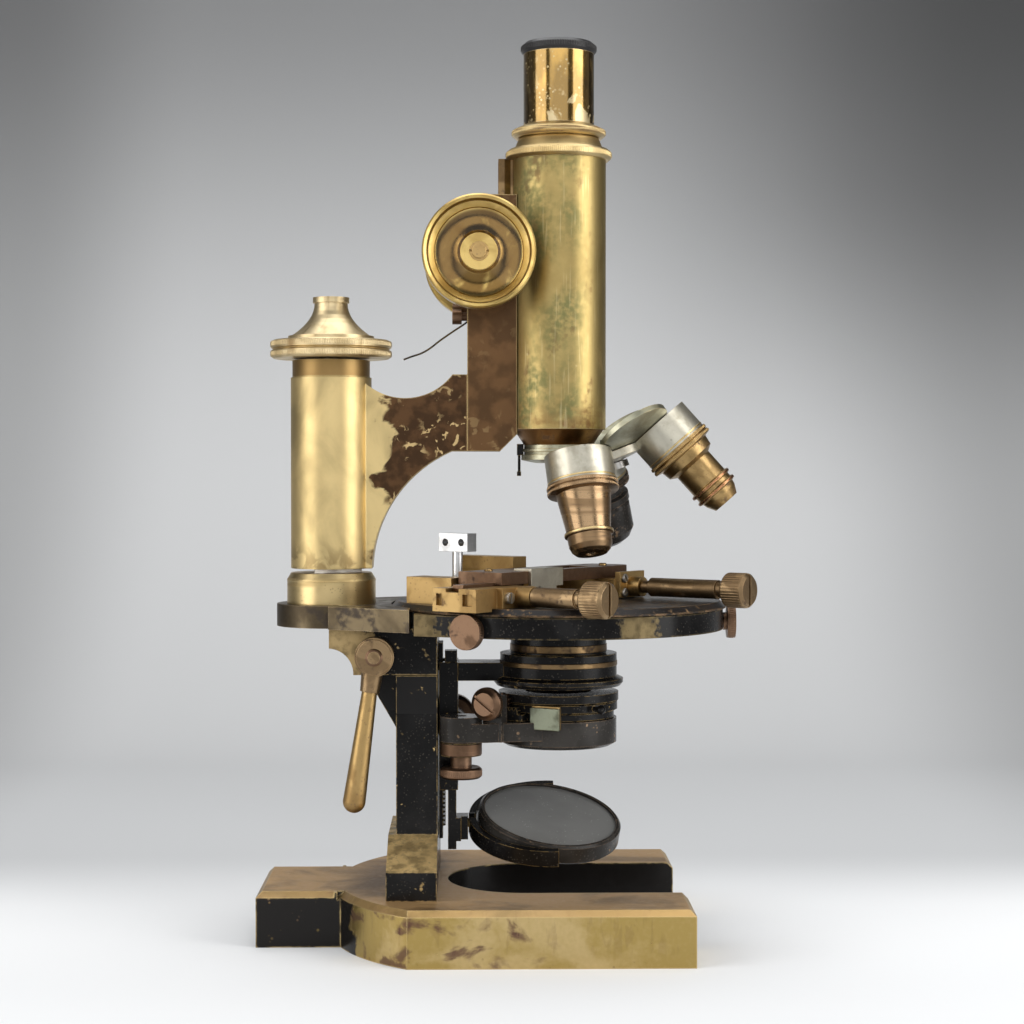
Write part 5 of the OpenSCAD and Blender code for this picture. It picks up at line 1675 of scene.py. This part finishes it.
@dataclass(frozen=True)
class Paper:
    """The backdrop's paper in painted shade: pale before the object, grey behind it and darker higher up,
    with painted shade far to the left and right.
    """

    name: str = "paper"
    front: Colour = (0.82, 0.832, 0.845)
    middle: Colour = (0.89, 0.90, 0.91)
    behind: Colour = (0.595, 0.605, 0.615)
    far: Colour = (0.645, 0.653, 0.66)
    above: Colour = (0.25, 0.253, 0.257)
    floor_depth: Row = (-90.0, 20.0)
    behind_depth: Row = (35.0, 155.0)
    far_depth: Row = (200.0, 560.0)
    dark_height: Row = (40.0, 560.0)
    side_depth: Row = (20.0, 160.0)

    def build(self) -> bpy.types.Material:
        """Makes the material.

        Returns:
            The material.
        """
        made = Surface(self.name)
        depth = made.along(Axis.Y)
        height = made.along(Axis.Z)
        across = made.along(Axis.X)
        base = made.mix(self.front, self.middle, depth.rises(*self.floor_depth))
        # Painted shade: the paper turns grey behind the object and darker higher up
        base = made.mix(base, self.behind, depth.rises(*self.behind_depth))
        base = made.mix(base, self.far, depth.rises(*self.far_depth))
        base = made.mix(base, self.above, height.rises(*self.dark_height) ** 1.8)
        # Painted shade at the right of the wall and far to the left and right behind the object
        right_wall_shade = across.rises(60.0, 330.0) * height.rises(120.0, 400.0)
        behind = depth.rises(*self.side_depth)
        far_right_shade = across.rises(240.0, 420.0) * behind
        far_left_shade = across.rises(-190.0, -330.0) * behind
        gain = (1.0 - right_wall_shade * 0.48) * (1.0 - far_right_shade * 0.35) * (1.0 - far_left_shade * 0.33)
        sockets = {"Base Color": made.tone(base, gain), "Roughness": 0.85, "Specular IOR Level": 0.1}
        return made.wear(sockets)


@dataclass
class Studio:
    """The floor, backdrop, lamps and camera."""

    camera_at: Point = (20.7, -741.4, 167.0)
    look_at: Point = (34.1, 0.0, 152.9)
    lens: float = 71.76
    clip: Row = (0.01, 20.0)
    level: tuple[float, ...] = (-1400.0, -600.0, 0.0, 420.0)
    sides: Row = (-1800.0, 1900.0)
    sweep_radius: float = 420.0
    sweep_steps: int = 24
    height: float = 1500.0
    room: Colour = (0.62, 0.63, 0.65)
    room_strength: float = 0.22
    middle: Point = (20.0, 0.0, 160.0)
    lamps: tuple[Lamp, ...] = (
        Lamp("left_softbox", place=(-760.0, -420.0, 420.0), size=(620.0, 1000.0), power=5.6,
             tint=(1.0, 0.98, 0.955)),
        Lamp("right_softbox", place=(820.0, -380.0, 380.0), size=(560.0, 1000.0), power=7.2,
             tint=(1.0, 0.985, 0.965)),
        Lamp("front_fill", place=(0.0, -1300.0, 620.0), size=(1500.0, 900.0), power=6.5,
             tint=(1.0, 1.0, 1.0)),
        Lamp("top_softbox", place=(40.0, 60.0, 900.0), size=(800.0, 700.0), power=5.0,
             tint=(0.98, 0.99, 1.0)))

    def floor(self) -> None:
        """Makes the floor that sweeps up into the backdrop."""
        rows = [(y, 0.0) for y in self.level]
        start = self.level[-1]
        for step in range(1, self.sweep_steps + 1):
            angle = math.radians(90.0 * step / self.sweep_steps)
            rise = self.sweep_radius * (1.0 - math.cos(angle))
            rows.append((start + self.sweep_radius * math.sin(angle), rise))
        rows.append((start + self.sweep_radius, self.height))
        corners = [(x * MM, y * MM, z * MM) for y, z in rows for x in self.sides]
        faces = [(2 * i, 2 * i + 1, 2 * i + 3, 2 * i + 2) for i in range(len(rows) - 1)]
        mesh = bpy.data.meshes.new("sweep")
        mesh.from_pydata(corners, [], faces)
        mesh.shade_smooth()
        mesh.materials.append(Paper().build())
        sweep = bpy.data.objects.new("sweep", mesh)
        bpy.context.collection.objects.link(sweep)

    def hang(self, thing: bpy.types.Object, place: Point, target: Point) -> None:
        """Puts a lamp or camera in its place and points it.

        Args:
            thing: The lamp or camera.
            place: Where it goes, in millimetres.
            target: What it points at.
        """
        thing.location = Vector(place) * MM
        thing.rotation_euler = (Vector(target) - Vector(place)).to_track_quat("-Z", "Y").to_euler()
        bpy.context.collection.objects.link(thing)

    def light(self) -> None:
        """Adds the lamps and the room's own light."""
        for lamp in self.lamps:
            data = bpy.data.lights.new(lamp.name, "AREA")
            data.shape = "RECTANGLE"
            data.size, data.size_y = lamp.size[0] * MM, lamp.size[1] * MM
            data.energy = lamp.power
            data.color = lamp.tint
            self.hang(bpy.data.objects.new(lamp.name, data), lamp.place, self.middle)
        world = bpy.data.worlds.new("room")
        world.use_nodes = True
        colour, strength = world.node_tree.nodes["Background"].inputs[:2]
        colour.default_value = (*self.room, 1.0)
        strength.default_value = self.room_strength
        bpy.context.scene.world = world

    def build(self) -> None:
        """Sets up the floor, the lamps and the camera."""
        self.floor()
        self.light()
        data = bpy.data.cameras.new("camera")
        data.lens = self.lens
        data.clip_start, data.clip_end = self.clip
        camera = bpy.data.objects.new("camera", data)
        self.hang(camera, self.camera_at, self.look_at)
        bpy.context.scene.camera = camera
        bpy.context.scene.view_settings.view_transform = "Standard"


def main() -> None:
    """Builds the studio and every sub-assembly."""
    logging.basicConfig(level=logging.INFO, format="%(name)s: %(message)s")
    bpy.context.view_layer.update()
    Studio().build()
    looks = Palette()
    parts: tuple = (Base, Limb, InclinationClamp, FineFocus, FocusArm, BodyTube, CoarseFocus, Nosepiece,
                    MechanicalStage, Substage, Mirror)
    for part in parts:
        LOG.info("building %s", part.__name__)
        part(looks).build()
    bpy.context.view_layer.update()


if __name__ == "__main__":
    main()
